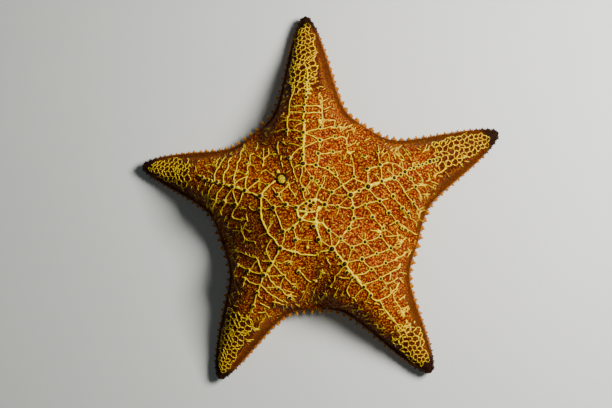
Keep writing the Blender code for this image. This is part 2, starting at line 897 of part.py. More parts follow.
def madreporite(collection):
    """An oval button with a domed face."""
    bm = bmesh.new()
    button(bm, 0.0, -MADREPORITE_SET, MADREPORITE_RISE / 2)
    top = max(bm.faces, key=lambda face: face.calc_center_median().z)
    for share, height in MADREPORITE_DOME:
        inner_face(bm, top, share * cell_size(top))
        for vert in top.verts:
            vert.co.z = MADREPORITE_RISE * height
    bm.transform(button_place())
    return finish_piece("madreporite", bm, collection)


def membrane(collection):
    """The round skin over the mouth, under the roof of its hollow."""
    bm = bmesh.new()
    bmesh.ops.create_cone(
        bm,
        cap_ends=True,
        segments=MEMBRANE_CORNERS,
        radius1=MEMBRANE_RADIUS,
        radius2=MEMBRANE_RADIUS,
        depth=MEMBRANE_HEIGHT,
    )
    lift = MOUTH_ROOF - PART_GAP - MEMBRANE_HEIGHT / 2
    bmesh.ops.translate(bm, verts=bm.verts, vec=(0.0, 0.0, lift))
    return finish_piece("mouth_membrane", bm, collection)


def jaw(k, collection):
    """A wedge between two grooves, narrower inward, with a blunt tooth at its inner end."""
    bm = bmesh.new()
    length, width, height = JAW_SIZE
    bmesh.ops.create_cube(bm, size=1.0)
    low = MOUTH_ROOF - 2 * PART_GAP - MEMBRANE_HEIGHT - height
    reach = MOUTH_RADIUS * math.cos(MOUTH_EDGE_ANGLE / 2) - PART_GAP
    outer = math.sqrt(reach**2 - (width / 2) ** 2)
    for vert in bm.verts:
        inward = 0.5 - vert.co.x
        vert.co.x = outer - inward * length
        vert.co.y *= width * (1 - (1 - JAW_INNER_END) * inward)
        vert.co.z = low + (vert.co.z + 0.5) * height
    inner = min(bm.faces, key=lambda face: face.calc_center_median().x)
    inner_face(bm, inner, JAW_TOOTH_BORDER * cell_size(inner))
    drawn = bmesh.ops.extrude_discrete_faces(bm, faces=[inner])["faces"][0]
    for vert in drawn.verts:
        vert.co.x -= JAW_TOOTH
        vert.co.y *= JAW_TOOTH_TAPER
    angle = GAP_ANGLES[k]
    for vert in bm.verts:
        x, y = vert.co.x, vert.co.y
        vert.co.x = x * math.cos(angle) - y * math.sin(angle)
        vert.co.y = x * math.sin(angle) + y * math.cos(angle)
    return finish_piece(f"jaw_{k + 1}", bm, collection)


def finish_piece(name, bm, collection):
    """Closes off a small piece and makes its object."""
    bmesh.ops.triangulate(bm, faces=bm.faces)
    bmesh.ops.recalc_face_normals(bm, faces=bm.faces)
    mesh = bpy.data.meshes.new(name)
    bm.to_mesh(mesh)
    bm.free()
    return new_object(name, mesh, collection)


def part_body(parts, cutters):
    """The disc, the arms and the arms' ends, cut from the whole body."""
    body = body_mesh()
    made = []
    disc_cuts = [("DIFFERENCE", pocket(cutters))]
    for k in range(ARM_COUNT):
        number = k + 1
        tip = ARMS[k].length - TIP_LENGTH
        half = PART_GAP / 2
        arm_tool = arm_box(f"arm_{number}_cutter", k, ARM_CUT + half, cutters)
        disc_tool = arm_box(f"disc_cutter_{number}", k, ARM_CUT - half, cutters)
        tip_tool = arm_box(f"tip_cutter_{number}", k, tip + half, cutters)
        end_tool = arm_box(f"arm_end_cutter_{number}", k, tip - half, cutters)
        arm_cuts = [("INTERSECT", arm_tool), ("DIFFERENCE", end_tool)]
        made.append(cut_body(f"arm_{number}", body, arm_cuts, parts))
        made.append(cut_body(f"arm_tip_{number}", body, [("INTERSECT", tip_tool)], parts))
        disc_cuts.append(("DIFFERENCE", disc_tool))
    made.append(cut_body("disc", body, disc_cuts, parts))
    bpy.data.meshes.remove(body)
    return made


def centre_all(items, cutters):
    """Moves everything so that the middle of the footprint is at the origin."""
    points = [vert.co for item in items for vert in item.data.vertices]
    low = Vector([min(p[i] for p in points) for i in range(2)])
    high = Vector([max(p[i] for p in points) for i in range(2)])
    shift = Vector((*((low + high) / -2), 0.0))
    for item in items + list(cutters.objects):
        for vert in item.data.vertices:
            vert.co += shift


def main():
    clear_scene()
    parts = new_collection("starfish")
    cutters = new_collection("cutters")
    items = part_body(parts, cutters)
    items.append(madreporite(parts))
    items.append(membrane(parts))
    items += [jaw(k, parts) for k in range(ARM_COUNT)]
    centre_all(items, cutters)
    for item in items:
        kind = item.name.rstrip("0123456789").rstrip("_")
        coloured(item, COLOURS[kind])


main()
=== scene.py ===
"""The looks of a cushion star at life size, resting on its underside with five unequal arms.

A sector is one side of one arm.  A place in plan is given on its arm laid straight along +x, and
the body's form lifts it, turns it to its arm and bends it.  On a sector, the share u runs from the
middle of the disc (0) to the arm's tip (1), and w from the crest (0) to the edge (1).
"""

from __future__ import annotations

import logging
import math
from dataclasses import dataclass, field, replace
from enum import Enum

import bmesh
import bpy
import numpy as np
from mathutils import Matrix, Vector


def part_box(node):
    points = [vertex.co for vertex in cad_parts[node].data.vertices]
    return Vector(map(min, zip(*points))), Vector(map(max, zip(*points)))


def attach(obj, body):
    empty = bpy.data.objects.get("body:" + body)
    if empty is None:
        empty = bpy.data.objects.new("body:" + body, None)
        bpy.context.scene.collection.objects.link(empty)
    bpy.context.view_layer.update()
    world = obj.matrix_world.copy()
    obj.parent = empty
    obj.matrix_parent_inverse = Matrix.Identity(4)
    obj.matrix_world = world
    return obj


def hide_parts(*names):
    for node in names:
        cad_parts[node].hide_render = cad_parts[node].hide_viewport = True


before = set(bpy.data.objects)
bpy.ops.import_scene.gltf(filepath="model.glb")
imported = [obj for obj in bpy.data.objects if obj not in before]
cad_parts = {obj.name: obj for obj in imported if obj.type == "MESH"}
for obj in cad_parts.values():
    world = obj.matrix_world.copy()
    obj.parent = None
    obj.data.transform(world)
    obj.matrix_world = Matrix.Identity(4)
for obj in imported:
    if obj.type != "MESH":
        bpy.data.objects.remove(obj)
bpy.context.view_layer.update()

LOG = logging.getLogger("cushion_star")
MM = 0.001
BODY = "root"
Array = np.ndarray
Span = tuple[float, float]


# numbers on arrays
def smooth(low: float | Array, high: float | Array, value: Array) -> Array:
    """Rises from 0 at low to 1 at high, level at both ends."""
    t = np.clip((value - low) / (high - low), 0.0, 1.0)
    return t * t * (3 - 2 * t)


def unit(vectors: Array) -> Array:
    """Vectors along the last axis, brought to length 1."""
    size = np.linalg.norm(vectors, axis=-1, keepdims=True)
    return vectors / np.maximum(size, 1e-12)


def ray(angle: float | Array) -> Array:
    """Level directions at angles from +x."""
    return np.stack([np.cos(angle), np.sin(angle)], axis=-1)


def rotated(x: Array, y: Array, angle: float | Array) -> tuple[Array, Array]:
    """Level vectors turned anticlockwise by an angle."""
    cos, sin = np.cos(angle), np.sin(angle)
    return x * cos - y * sin, x * sin + y * cos


def polar(plan: Array) -> tuple[Array, Array]:
    """Distance and angle of places in plan."""
    return np.linalg.norm(plan, axis=-1), np.arctan2(plan[..., 1], plan[..., 0])


def wavy(count: int, step: float, dice: np.random.Generator) -> Array:
    """Soft noise along a line: random values at every few samples, joined by cosine steps.

    Args:
        count: how many samples.
        step: samples from one random value to the next.
        dice: where the random values come from.

    Returns:
        Values from -1 to 1.
    """
    knots = dice.uniform(-1, 1, int(count / step) + 3)
    place = np.arange(count) / step
    whole = place.astype(int)
    part = 0.5 - 0.5 * np.cos(np.pi * (place - whole))
    return knots[whole] * (1 - part) + knots[whole + 1] * part


class Side(Enum):
    """A side of an arm, seen from above: +1 is anticlockwise of its crest."""

    RIGHT = -1
    LEFT = 1


@dataclass(frozen=True)
class ArmSizes:
    """An arm's direction and the turn it has made by its tip, in degrees, and its reach."""

    angle: float
    bend: float
    length: float
    notch: float


@dataclass
class BodyForm:
    """The body's smooth form, the same as the solids have, worked out for whole arrays."""

    arms: tuple[ArmSizes, ...] = (
        ArmSizes(21.8, 1.2, 122.5 * MM, 60.5 * MM),
        ArmSizes(93.0, -0.2, 122.5 * MM, 61.0 * MM),
        ArmSizes(161.7, 3.4, 115.0 * MM, 61.0 * MM),
        ArmSizes(235.5, 4.2, 121.5 * MM, 60.0 * MM),
        ArmSizes(306.2, -0.2, 122.0 * MM, 66.0 * MM),
    )
    flank_angle: float = math.radians(10.4)
    flank_power: float = 1.45
    disc_height: float = 52.0 * MM
    wall_at_notch: float = 15.0 * MM
    wall_at_tip: float = 6.5 * MM
    wall_power: float = 0.8
    lift: float = 2.5 * MM
    lift_from: float = 0.8
    slope_share: float = 0.9
    slope_power: float = 1.5
    end_power: int = 6
    valley_power: float = 2.2
    flank_span: tuple[float, float] = (0.6, 1.25)
    rounding: float = 2.3
    shoulder: float = 12.0 * MM
    slope_step: float = 0.25 * MM
    edge_tilt: float = 0.35
    edge_reach: float = 4.0 * MM
    loop_share: float = 0.25
    notch_share: float = 0.42
    fan_end: float = 0.52
    loop_radius: float = 26.6 * MM
    notch_crest: float = 40.0 * MM
    bow: float = 0.078
    base: float = 1.2 * MM
    base_inset: float = 1.0 * MM
    seam_bulge: float = 0.8 * MM
    groove_half: tuple[float, float] = (3.8 * MM, 1.0 * MM)
    groove_depth: tuple[float, float] = (5.5 * MM, 2.2 * MM)
    groove_power: float = 0.7
    groove_end: float = 6.0 * MM
    groove_fade: float = 4.0 * MM
    mouth_radius: float = 9.2 * MM
    mouth_edge: float = 1.0 * MM
    mouth_rise: float = 5.6 * MM
    sheet_share: float = 0.46
    table: int = 600

    def __post_init__(self) -> None:
        """Works out each sector's values; sectors 2k and 2k + 1 are the sides of arm k."""
        low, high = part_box("mouth_membrane")
        self.centre = np.array([(low[i] + high[i]) / 2 for i in range(2)])
        count = len(self.arms)
        angles = np.radians([arm.angle for arm in self.arms])
        gaps = np.mod(np.roll(angles, -1) - angles, 2 * np.pi)
        self.sectors = 2 * count
        pick = np.arange(self.sectors) // 2
        self.sign = np.where(np.arange(self.sectors) % 2 == 0, Side.RIGHT.value, Side.LEFT.value)
        gap = np.where(self.sign > 0, pick, (pick - 1) % count)
        self.angle = angles[pick]
        self.bend = np.radians([arm.bend for arm in self.arms])[pick]
        self.length = np.array([arm.length for arm in self.arms])[pick]
        self.notch = np.array([arm.notch for arm in self.arms])[gap]
        self.half = gaps[gap] / 2
        self.rest = np.exp(-((self.half / self.flank_angle) ** self.flank_power))
        self._measure_margin()

    def _measure_margin(self) -> None:
        """Tables the margin's angle and outward direction by the share of its length."""
        steps = np.linspace(1.0, 0.0, 4 * self.table)
        sector = np.arange(self.sectors)[:, None]
        phi = self.half[:, None] * steps[None, :]
        along = np.zeros_like(phi)
        line = self._at_angle(sector, phi)
        along[:, 1:] = np.cumsum(np.linalg.norm(np.diff(line, axis=1), axis=-1), axis=1)
        self.margin_length = along[:, -1]
        share = np.linspace(0.0, 1.0, self.table + 1)
        rows = [np.interp(share * row[-1], row, angle) for row, angle in zip(along, phi)]
        self.margin_phi = np.array(rows)
        ahead = unit(np.gradient(self._at_angle(sector, self.margin_phi), axis=1))
        self.margin_out = np.stack([-ahead[..., 1], ahead[..., 0]], axis=-1)
        self.margin_out[:, 0] = ray(self.half)
        self.margin_out[:, -1] = (1.0, 0.0)

    def _at_angle(self, sector: Array, phi: Array) -> Array:
        """The outline's place in plan at an angle from the crest."""
        return self.outline(sector, phi)[..., None] * ray(phi)

    def outline(self, sector: Array, phi: Array) -> Array:
        """Reach of the body at an angle from the crest: a notch radius plus a stretched bell."""
        rest = self.rest[sector]
        bell = np.exp(-((np.abs(phi) / self.flank_angle) ** self.flank_power))
        notch = self.notch[sector]
        return notch + (self.length[sector] - notch) * (bell - rest) / (1 - rest)

    def flank(self, sector: Array, rho: Array) -> Array:
        """The angle where the outline is rho away, or the whole half gap inside the notch."""
        rest, notch = self.rest[sector], self.notch[sector]
        share = np.clip((rho - notch) / (self.length[sector] - notch), 0.0, 1.0)
        power = np.maximum(-np.log(share * (1 - rest) + rest), 0.0)
        angle = self.flank_angle * power ** (1 / self.flank_power)
        return np.where(rho <= notch, self.half[sector], angle)

    def wall(self, sector: Array, rho: Array) -> Array:
        """Height of the wall's upper edge, falling from the notch to the tip."""
        notch = self.notch[sector]
        share = np.clip((rho - notch) / (self.length[sector] - notch), 0.0, 1.0)
        return self.wall_at_notch + (self.wall_at_tip - self.wall_at_notch) * share**self.wall_power

    def raised(self, sector: Array, rho: Array) -> Array:
        """How far the arm's end is curled up off the ground."""
        return self.lift * smooth(self.lift_from, 1.0, rho / self.length[sector])

    def outward(self, sector: Array, plan: Array) -> Array:
        """A place's distance from the middle, as a share of its arm's length."""
        return np.linalg.norm(plan, axis=-1) / self.length[sector]

    def height(self, sector: Array, plan: Array) -> Array:
        """Height of the upper side over a place in plan.

        The crest falls straight with a blunt end, the valley between arms falls as a power, and
        the section between them turns from a cosine on the disc to a rounded roof on the arm.
        Near the outline the surface is rounded down to the wall.

        Args:
            sector: sector numbers.
            plan: places with the arm straight along +x.

        Returns:
            Heights above the ground.
        """
        rho, phi = polar(plan)
        half = self.half[sector]
        phi = np.where(np.abs(phi) > half, 2 * half - np.abs(phi), np.abs(phi))
        notch = self.notch[sector]
        tau = np.clip(phi / np.maximum(self.flank(sector, rho), 1e-6), 0.0, 1.0)
        along = np.minimum(rho / self.length[sector], 1.0)
        slope = (1 - along**2) ** self.slope_power
        end = (1 - along**self.end_power) ** 0.5
        shape = self.slope_share * slope + (1 - self.slope_share) * end
        crest = self.wall_at_tip + (self.disc_height - self.wall_at_tip) * shape
        wall = self.wall(sector, rho)
        fall = np.minimum(rho / notch, 1.0) ** self.valley_power
        valley = self.disc_height + (self.wall_at_notch - self.disc_height) * fall
        low = np.where(rho < notch, valley, wall)
        cosine = np.cos(0.5 * np.pi * tau) ** 2
        roof = 1 - tau**self.rounding
        mix = smooth(*self.flank_span, rho / notch)
        rise = np.maximum((crest - low) * (cosine + (roof - cosine) * mix), 0.0)
        inward = np.clip((self.outline(sector, phi) - rho) / self.shoulder, 0.0, 1.0)
        edge = 1 - (1 - inward) ** 2
        return wall + (low + rise - wall) * edge + self.raised(sector, rho)

    def edge_distance(self, sector: Array, plan: Array) -> Array:
        """Roughly how far inside the outline a place is."""
        rho, phi = polar(plan)
        ahead = self.outline(sector, phi) - rho
        beside = rho * (self.flank(sector, rho) - np.abs(phi))
        return np.where(rho > self.notch[sector], np.minimum(ahead, beside), ahead)

    def margin(self, sector: Array, share: Array, out: Array | float = 0.0) -> Array:
        """A place on the outline by its share from notch to tip, moved outward in plan."""
        spot = np.clip(share, 0.0, 1.0) * self.table
        low = np.minimum(spot.astype(int), self.table - 1)
        part = spot - low
        phi = self.margin_phi[sector, low] * (1 - part) + self.margin_phi[sector, low + 1] * part
        part = part[..., None]
        away = self.margin_out[sector, low] * (1 - part) + self.margin_out[sector, low + 1] * part
        return self._at_angle(sector, phi) + unit(away) * np.asarray(out)[..., None]

    def crest(self, sector: Array, u: Array) -> Array:
        """Distance of a share u along the crest."""
        knots = [0, self.loop_share, self.notch_share]
        inner = np.interp(u, knots, [0, self.loop_radius, self.notch_crest])
        rest = (u - self.notch_share) / (1 - self.notch_share)
        outer = self.notch_crest + rest * (self.length[sector] - self.notch_crest)
        return np.where(u < self.notch_share, inner, outer)

    def plan(self, sector: Array, u: Array, w: Array, inset: float = 0.0) -> Array:
        """A place in plan, with the arm straight along +x and its side towards +y.

        From crest to edge each line of one u is a shallow bow: the chord between its ends, and a
        parabola on it.  Inside the loop the lines are the loop's own line, scaled down.

        Args:
            sector: sector numbers.
            u: shares from the middle to the tip.
            w: shares from the crest to the edge.
            inset: how far the edge is drawn in.

        Returns:
            Plan places, x along the arm.
        """
        sector, u, w = np.broadcast_arrays(sector, u, w)
        outer = np.maximum(u, self.loop_share)
        drawn = 1 - inset / self.length[sector]
        start = np.stack([self.crest(sector, outer) * drawn, np.zeros_like(outer)], axis=-1)
        notch = self.notch[sector] - inset
        inside = (outer - self.loop_share) / (self.notch_share - self.loop_share)
        reach = self.loop_radius + (notch - self.loop_radius) * np.clip(inside, 0, 1)
        half = self.half[sector]
        valley = reach[..., None] * ray(half)
        share = (outer - self.notch_share) / (1 - self.notch_share)
        edge = self.margin(sector, share, np.full_like(share, -inset))
        chord = np.where((outer < self.notch_share)[..., None], valley, edge) - start
        turned = 0.5 * half * (1 - smooth(self.loop_share, self.fan_end, outer))
        sag = self.bow * np.linalg.norm(chord, axis=-1) * 4 * w * (1 - w)
        place = start + chord * w[..., None] + ray(turned) * sag[..., None]
        return place * np.minimum(u / self.loop_share, 1.0)[..., None]

    def spread(self, sector: Array, plan: Array) -> Array:
        """Places of one straight arm, turned to their side of their arm: the star's own plan."""
        y = plan[..., 1] * self.sign[sector]
        return np.stack(rotated(plan[..., 0], y, self.angle[sector]), axis=-1)

    def gather(self, star: Array) -> tuple[Array, Array]:
        """The sector of each place of the star's plan, and its place on a straight arm."""
        rho, theta = polar(star)
        apart = theta[..., None] - self.angle[::2]
        apart = np.mod(apart + np.pi, 2 * np.pi) - np.pi
        arm = np.argmin(np.abs(apart), axis=-1)
        phi = np.take_along_axis(apart, arm[..., None], axis=-1)[..., 0]
        plan = np.stack([rho * np.cos(phi), rho * np.abs(np.sin(phi))], axis=-1)
        return 2 * arm + (phi > 0), plan

    def _bend(self, sector: Array, plan: Array) -> Array:
        """The turn that the arm's bend gives a place."""
        rho, phi = polar(plan)
        share = np.minimum(np.abs(phi) / self.half[sector], 1.0)
        window = np.cos(0.5 * np.pi * share) ** 2
        return self.bend[sector] * window * (rho / self.length[sector]) ** 2

    def place(self, sector: Array, plan: Array, z: Array) -> Array:
        """Places of the straight plan, turned to their arm, bent, and set at a height."""
        rho, phi = polar(plan)
        theta = self.angle[sector] + self.sign[sector] * phi + self._bend(sector, plan)
        x = self.centre[0] + rho * np.cos(theta)
        y = self.centre[1] + rho * np.sin(theta)
        return np.stack([x, y, np.broadcast_to(z, x.shape)], axis=-1)

    def turned(self, sector: Array, plan: Array, away: Array) -> Array:
        """Directions at places of the straight plan, turned as those places are."""
        angle = self.angle[sector] + self._bend(sector, plan)
        x, y = rotated(away[..., 0], away[..., 1] * self.sign[sector], angle)
        return np.stack([x, y, away[..., 2]], axis=-1)

    def upper(self, sector: Array, plan: Array, out: Array | float = 0.0) -> tuple[Array, Array]:
        """Places on the upper side, moved out along its normal, and those normals.

        The normal is the slope of the height over a short step, less tilted near the outline.

        Args:
            sector: sector numbers.
            plan: places with the arm straight along +x.
            out: distance outward.

        Returns:
            Places and unit normals.
        """
        slopes = []
        for axis in np.eye(2) * self.slope_step:
            rise = self.height(sector, plan + axis) - self.height(sector, plan - axis)
            slopes.append(rise / (2 * self.slope_step))
        inside = smooth(0.0, self.edge_reach, self.edge_distance(sector, plan))
        level = self.edge_tilt + (1 - self.edge_tilt) * inside
        tilted = [-slopes[0] * level, -slopes[1] * level, np.ones_like(level)]
        normal = self.turned(sector, plan, unit(np.stack(tilted, axis=-1)))
        base = self.place(sector, plan, self.height(sector, plan))
        return base + normal * np.broadcast_to(out, level.shape)[..., None], normal

    def over(self, star: Array, out: Array | float = 0.0) -> tuple[Array, Array, Array]:
        """Places on the upper side over the star's plan, their normals and layout spots."""
        sector, plan = self.gather(star)
        return *self.upper(sector, plan, out), self.unwrap(sector, plan)

    def side_wall(
        self, sector: Array, share: Array, level: Array, out: Array | float = 0.0
    ) -> tuple[Array, Array]:
        """Places on the wall under the margin, and their normals.

        The wall's profile is a shallow arc: it bulges to the seam between the two rows of plates
        and is drawn in to its foot.

        Args:
            sector: sector numbers.
            share: shares along the margin from notch to tip.
            level: 1 at the wall's upper edge, 0 at its foot.
            out: distance outward.

        Returns:
            Places and unit normals.
        """
        sector, share, level = np.broadcast_arrays(sector, share, level)
        swell = np.maximum(np.sin(np.pi * level), 0.0)
        bulge = self.seam_bulge * swell - self.base_inset * (1 - level) ** 2
        slope = np.pi * self.seam_bulge * np.cos(np.pi * level)
        slope = slope + 2 * self.base_inset * (1 - level)
        plan = self.margin(sector, share, bulge)
        rho = np.linalg.norm(self.margin(sector, share), axis=-1)
        wall = self.wall(sector, rho)
        lifted = self.raised(sector, np.linalg.norm(plan, axis=-1))
        z = self.base + (wall - self.base) * level + lifted
        away = unit(plan - self.margin(sector, share, bulge - MM))
        normal = unit(np.concatenate([away, (-slope / wall)[..., None]], axis=-1))
        normal = self.turned(sector, plan, normal)
        place = self.place(sector, plan, z)
        return place + normal * np.broadcast_to(out, share.shape)[..., None], normal

    def lower(self, sector: Array, plan: Array, out: Array | float = 0.0) -> Array:
        """Places on the underside: level, with a rounded groove below each crest, and a mouth.

        Args:
            sector: sector numbers.
            plan: places with the arm straight along +x.
            out: distance downward.

        Returns:
            Places.
        """
        rho = np.linalg.norm(plan, axis=-1)
        half, deep = self.groove(sector, plan[..., 0])
        across = np.clip(np.abs(plan[..., 1]) / half, 0, 1)
        hollow = deep * np.cos(0.5 * np.pi * across) ** self.groove_power
        mouth = 1 - smooth(self.mouth_radius - self.mouth_edge, self.mouth_radius, rho)
        rise = np.maximum(hollow, self.mouth_rise * mouth)
        z = self.base + rise + self.raised(sector, rho) - out
        return self.place(sector, plan, z)

    def groove(self, sector: Array, x: Array) -> tuple[Array, Array]:
        """Half width and depth of the groove under an arm, by the distance along it."""
        end = self.length[sector] - self.groove_end
        along = np.clip(x / end, 0, 1)
        half = self.groove_half[0] + (self.groove_half[1] - self.groove_half[0]) * along
        deep = self.groove_depth[0] + (self.groove_depth[1] - self.groove_depth[0]) * along
        return half, deep * (1 - smooth(end - self.groove_fade, end, x))

    def unwrap(self, sector: Array, plan: Array, band: float = 0.0) -> Array:
        """A place's own spot on the flat layout of the skin, for baking.

        Across the layout is the way round the mouth.  The upper side fills its lower half from
        the middle outward, the wall is a band at half height, and the underside, from its edge
        inward, fills the upper half.

        Args:
            sector: sector numbers.
            plan: places with the arm straight along +x.
            band: 0 for the upper side, 1 for the underside, and between them on the wall.

        Returns:
            Spots with both values from 0 to 1.
        """
        band = np.asarray(band)
        rho, phi = polar(plan)
        theta = self.angle[sector] + self.sign[sector] * np.abs(phi)
        share = self.sheet_share * np.minimum(rho / self.outline(sector, phi), 1.0)
        sheet = np.where(band < 0.5, share, 1 - share)
        strip = self.sheet_share + (1 - 2 * self.sheet_share) * band
        wall = (band > 0) & (band < 1)
        up = np.where(wall, strip, sheet)
        return np.stack([np.mod(theta / (2 * np.pi), 1.0), up], axis=-1)


# meshes from arrays
@dataclass
class Sheets:
    """Vertices, four-sided or three-sided faces, and values at the vertices, gathered in steps."""

    points: list[Array] = field(default_factory=list)
    faces: list[Array] = field(default_factory=list)
    values: dict[str, list[Array]] = field(default_factory=dict)
    spots: list[Array] = field(default_factory=list)
    count: int = 0

    def add(
        self, points: Array, faces: Array, spots: Array | None = None, **values: Array | float
    ) -> None:
        """Adds vertices, faces that number them from 0, and a value of each name for each."""
        points = points.reshape(-1, 3)
        self.points.append(points)
        self.faces.append(np.asarray(faces) + self.count)
        self.count += len(points)
        if spots is not None:
            self.spots.append(spots.reshape(-1, 2))
        for name, value in values.items():
            row = np.broadcast_to(np.ravel(value).astype(float), (len(points),))
            self.values.setdefault(name, []).append(row)

    def make(self, name: str, weld: float = 0.0) -> bpy.types.Object:
        """Puts everything into one smooth mesh object.

        Args:
            name: the object's name.
            weld: vertices nearer than this are merged, and the normals recalculated.

        Returns:
            The object, in the scene.
        """
        points = np.concatenate(self.points)
        corners = np.concatenate([face.reshape(-1) for face in self.faces])
        sizes = np.concatenate([np.full(len(face), face.shape[1]) for face in self.faces])
        mesh = bpy.data.meshes.new(name)
        mesh.vertices.add(len(points))
        mesh.vertices.foreach_set("co", points.astype(np.float32).ravel())
        mesh.loops.add(len(corners))
        mesh.loops.foreach_set("vertex_index", corners.astype(np.int32))
        mesh.polygons.add(len(sizes))
        starts = np.concatenate([[0], np.cumsum(sizes)[:-1]])
        mesh.polygons.foreach_set("loop_start", starts.astype(np.int32))
        mesh.update(calc_edges=True)
        for key, rows in self.values.items():
            layer = mesh.attributes.new(key, "FLOAT", "POINT")
            layer.data.foreach_set("value", np.concatenate(rows).astype(np.float32))
        if self.spots:
            layer = mesh.uv_layers.new(name="OFBake")
            spots = np.concatenate(self.spots)[corners]
            layer.data.foreach_set("uv", spots.astype(np.float32).ravel())
        if weld:
            bm = bmesh.new()
            bm.from_mesh(mesh)
            bmesh.ops.remove_doubles(bm, verts=bm.verts, dist=weld)
            bmesh.ops.recalc_face_normals(bm, faces=bm.faces)
            bm.to_mesh(mesh)
            bm.free()
        mesh.validate()
        mesh.polygons.foreach_set("use_smooth", np.ones(len(mesh.polygons), dtype=bool))
        mesh.update()
        item = bpy.data.objects.new(name, mesh)
        bpy.context.scene.collection.objects.link(item)
        return item


def grid_faces(rows: int, columns: int, round_trip: bool = False) -> Array:
    """Four-sided faces of a grid of vertices, the columns joined at the ends if it goes round."""
    across = columns if round_trip else columns - 1
    i, j = np.meshgrid(np.arange(rows - 1), np.arange(across), indexing="ij")
    after = (j + 1) % columns
    face = [i * columns + j, i * columns + after, (i + 1) * columns + after, (i + 1) * columns + j]
    return np.stack(face, axis=-1).reshape(-1, 4)


def repeated(faces: Array, copies: int, count: int) -> Array:
    """The faces of several copies of one set of vertices, which has count of them."""
    offset = np.arange(copies)[:, None, None] * count
    return (faces[None] + offset).reshape(-1, faces.shape[1])


ANY_TURN = (0.0, 6.3)


@dataclass(frozen=True)
class Turned:
    """A small turned shape: rings of a profile round +z, closed at both ends by fans."""

    radii: tuple[float, ...]
    levels: tuple[float, ...]
    ends: tuple[float, float]
    sides: int = 6

    def points(self) -> Array:
        """The lower end, the rings from the root up, then the upper end."""
        angle = 2 * np.pi * np.arange(self.sides) / self.sides
        ring = np.stack([np.cos(angle), np.sin(angle), np.zeros(self.sides)], axis=-1)
        rows = [ring * (r, r, 0) + (0, 0, z) for r, z in zip(self.radii, self.levels)]
        return np.concatenate([[[0, 0, self.ends[0]]], *rows, [[0, 0, self.ends[1]]]])

    def faces(self) -> tuple[Array, Array]:
        """The rings' four-sided faces and the two fans' three-sided ones."""
        rows = len(self.radii)
        side = grid_faces(rows, self.sides, True) + 1
        i = np.arange(self.sides)
        after = (i + 1) % self.sides
        last = 1 + (rows - 1) * self.sides
        low = np.stack([after + 1, i + 1, np.zeros_like(i)], axis=-1)
        high = np.stack([last + i, last + after, np.full_like(i, rows * self.sides + 1)], axis=-1)
        return side, np.concatenate([low, high])


def frames(normal: Array, spin: Array | None = None) -> Array:
    """Three axes for each normal: z along it, and x level, turned about it by spin."""
    helper = np.where(np.abs(normal[:, 2:3]) < 0.9, [[0.0, 0.0, 1.0]], [[1.0, 0.0, 0.0]])
    x = unit(np.cross(helper, normal))
    y = np.cross(normal, x)
    if spin is not None:
        cos, sin = np.cos(spin)[:, None], np.sin(spin)[:, None]
        x, y = x * cos + y * sin, y * cos - x * sin
    return np.stack([x, y, normal], axis=-1)


# half the width of a small thing's patch on the skin's layout, which is 1 across
PATCH = 0.0015


def scatter(
    sheets: Sheets,
    shape: Turned,
    roots: Array,
    axes: Array,
    sizes: Array,
    spots: Array,
    **values: Array,
) -> None:
    """Puts a copy of a shape on each root.

    Args:
        sheets: where the copies go.
        shape: the shape, of unit size.
        roots: one place for each copy.
        axes: three axes for each copy.
        sizes: width, depth and height of each copy.
        spots: where each root is on the skin's layout.
        values: a value for each copy.
    """
    model = shape.points()
    count = len(model)
    local = model[None] * sizes[:, None, :]
    points = roots[:, None, :] + np.einsum("nij,nkj->nki", axes, local)
    flat = {key: np.repeat(value, count) for key, value in values.items()}
    flat["rise"] = np.tile(np.clip(model[:, 2] / model[-1, 2], 0, 1), len(roots))
    around = spots[:, None, :] + model[None, :, :2] / np.abs(model[:, :2]).max() * PATCH
    side, fan = (repeated(faces, len(roots), count) for faces in shape.faces())
    start = sheets.count
    sheets.add(points, side, around, **flat)
    sheets.faces.append(fan + start)


# the net of ridges
@dataclass(frozen=True)
class Lens:
    """Where the photograph was taken from, and how its pixels look out from there."""

    target: tuple[float, float, float] = (-7.8 * MM, -3.5 * MM, 0.0)
    eye: tuple[float, float, float] = (91.9 * MM, -14.7 * MM, 688 * MM)
    field_of_view: float = math.radians(31.16)
    roll: float = -0.0018
    size: tuple[int, int] = (612, 408)
    rounds: int = 40
    ease: float = 0.7

    def axes(self) -> Array:
        """The directions to the right, up and back, as rows."""
        back = unit(np.array(self.eye) - np.array(self.target))
        right = unit(np.cross((0.0, 1.0, 0.0), back))
        up = np.cross(back, right)
        cos, sin = math.cos(self.roll), math.sin(self.roll)
        return np.stack([right * cos + up * sin, up * cos - right * sin, back])

    def onto(self, form: BodyForm, pixels: Array) -> Array:
        """Places of the star's plan that pixels show.

        A place starts on the ground, and is moved over and over by how far the upper side over
        it lies beside the line of sight at that height.

        Args:
            form: the body.
            pixels: x and y in the photograph.

        Returns:
            Places of the star's plan.
        """
        focal = 0.5 * self.size[0] / math.tan(0.5 * self.field_of_view)
        wide = (pixels[:, 0] + 0.5 - 0.5 * self.size[0]) / focal
        high = (0.5 * self.size[1] - 0.5 - pixels[:, 1]) / focal
        away = np.stack([wide, high, np.full_like(wide, -1.0)], axis=-1) @ self.axes()
        eye = np.array(self.eye)
        star = eye[:2] - away[:, :2] * (eye[2] / away[:, 2])[:, None] - form.centre
        for _ in range(self.rounds):
            over, _, _ = form.over(star)
            reach = (over[:, 2] - eye[2]) / away[:, 2]
            seen = eye[:2] + away[:, :2] * reach[:, None]
            star = star + self.ease * (seen - over[:, :2])
        return star


@dataclass(frozen=True)
class Pen:
    """A kind of ridge: its width and height in metres, and how pale it is."""

    width: float
    height: float
    pale: float


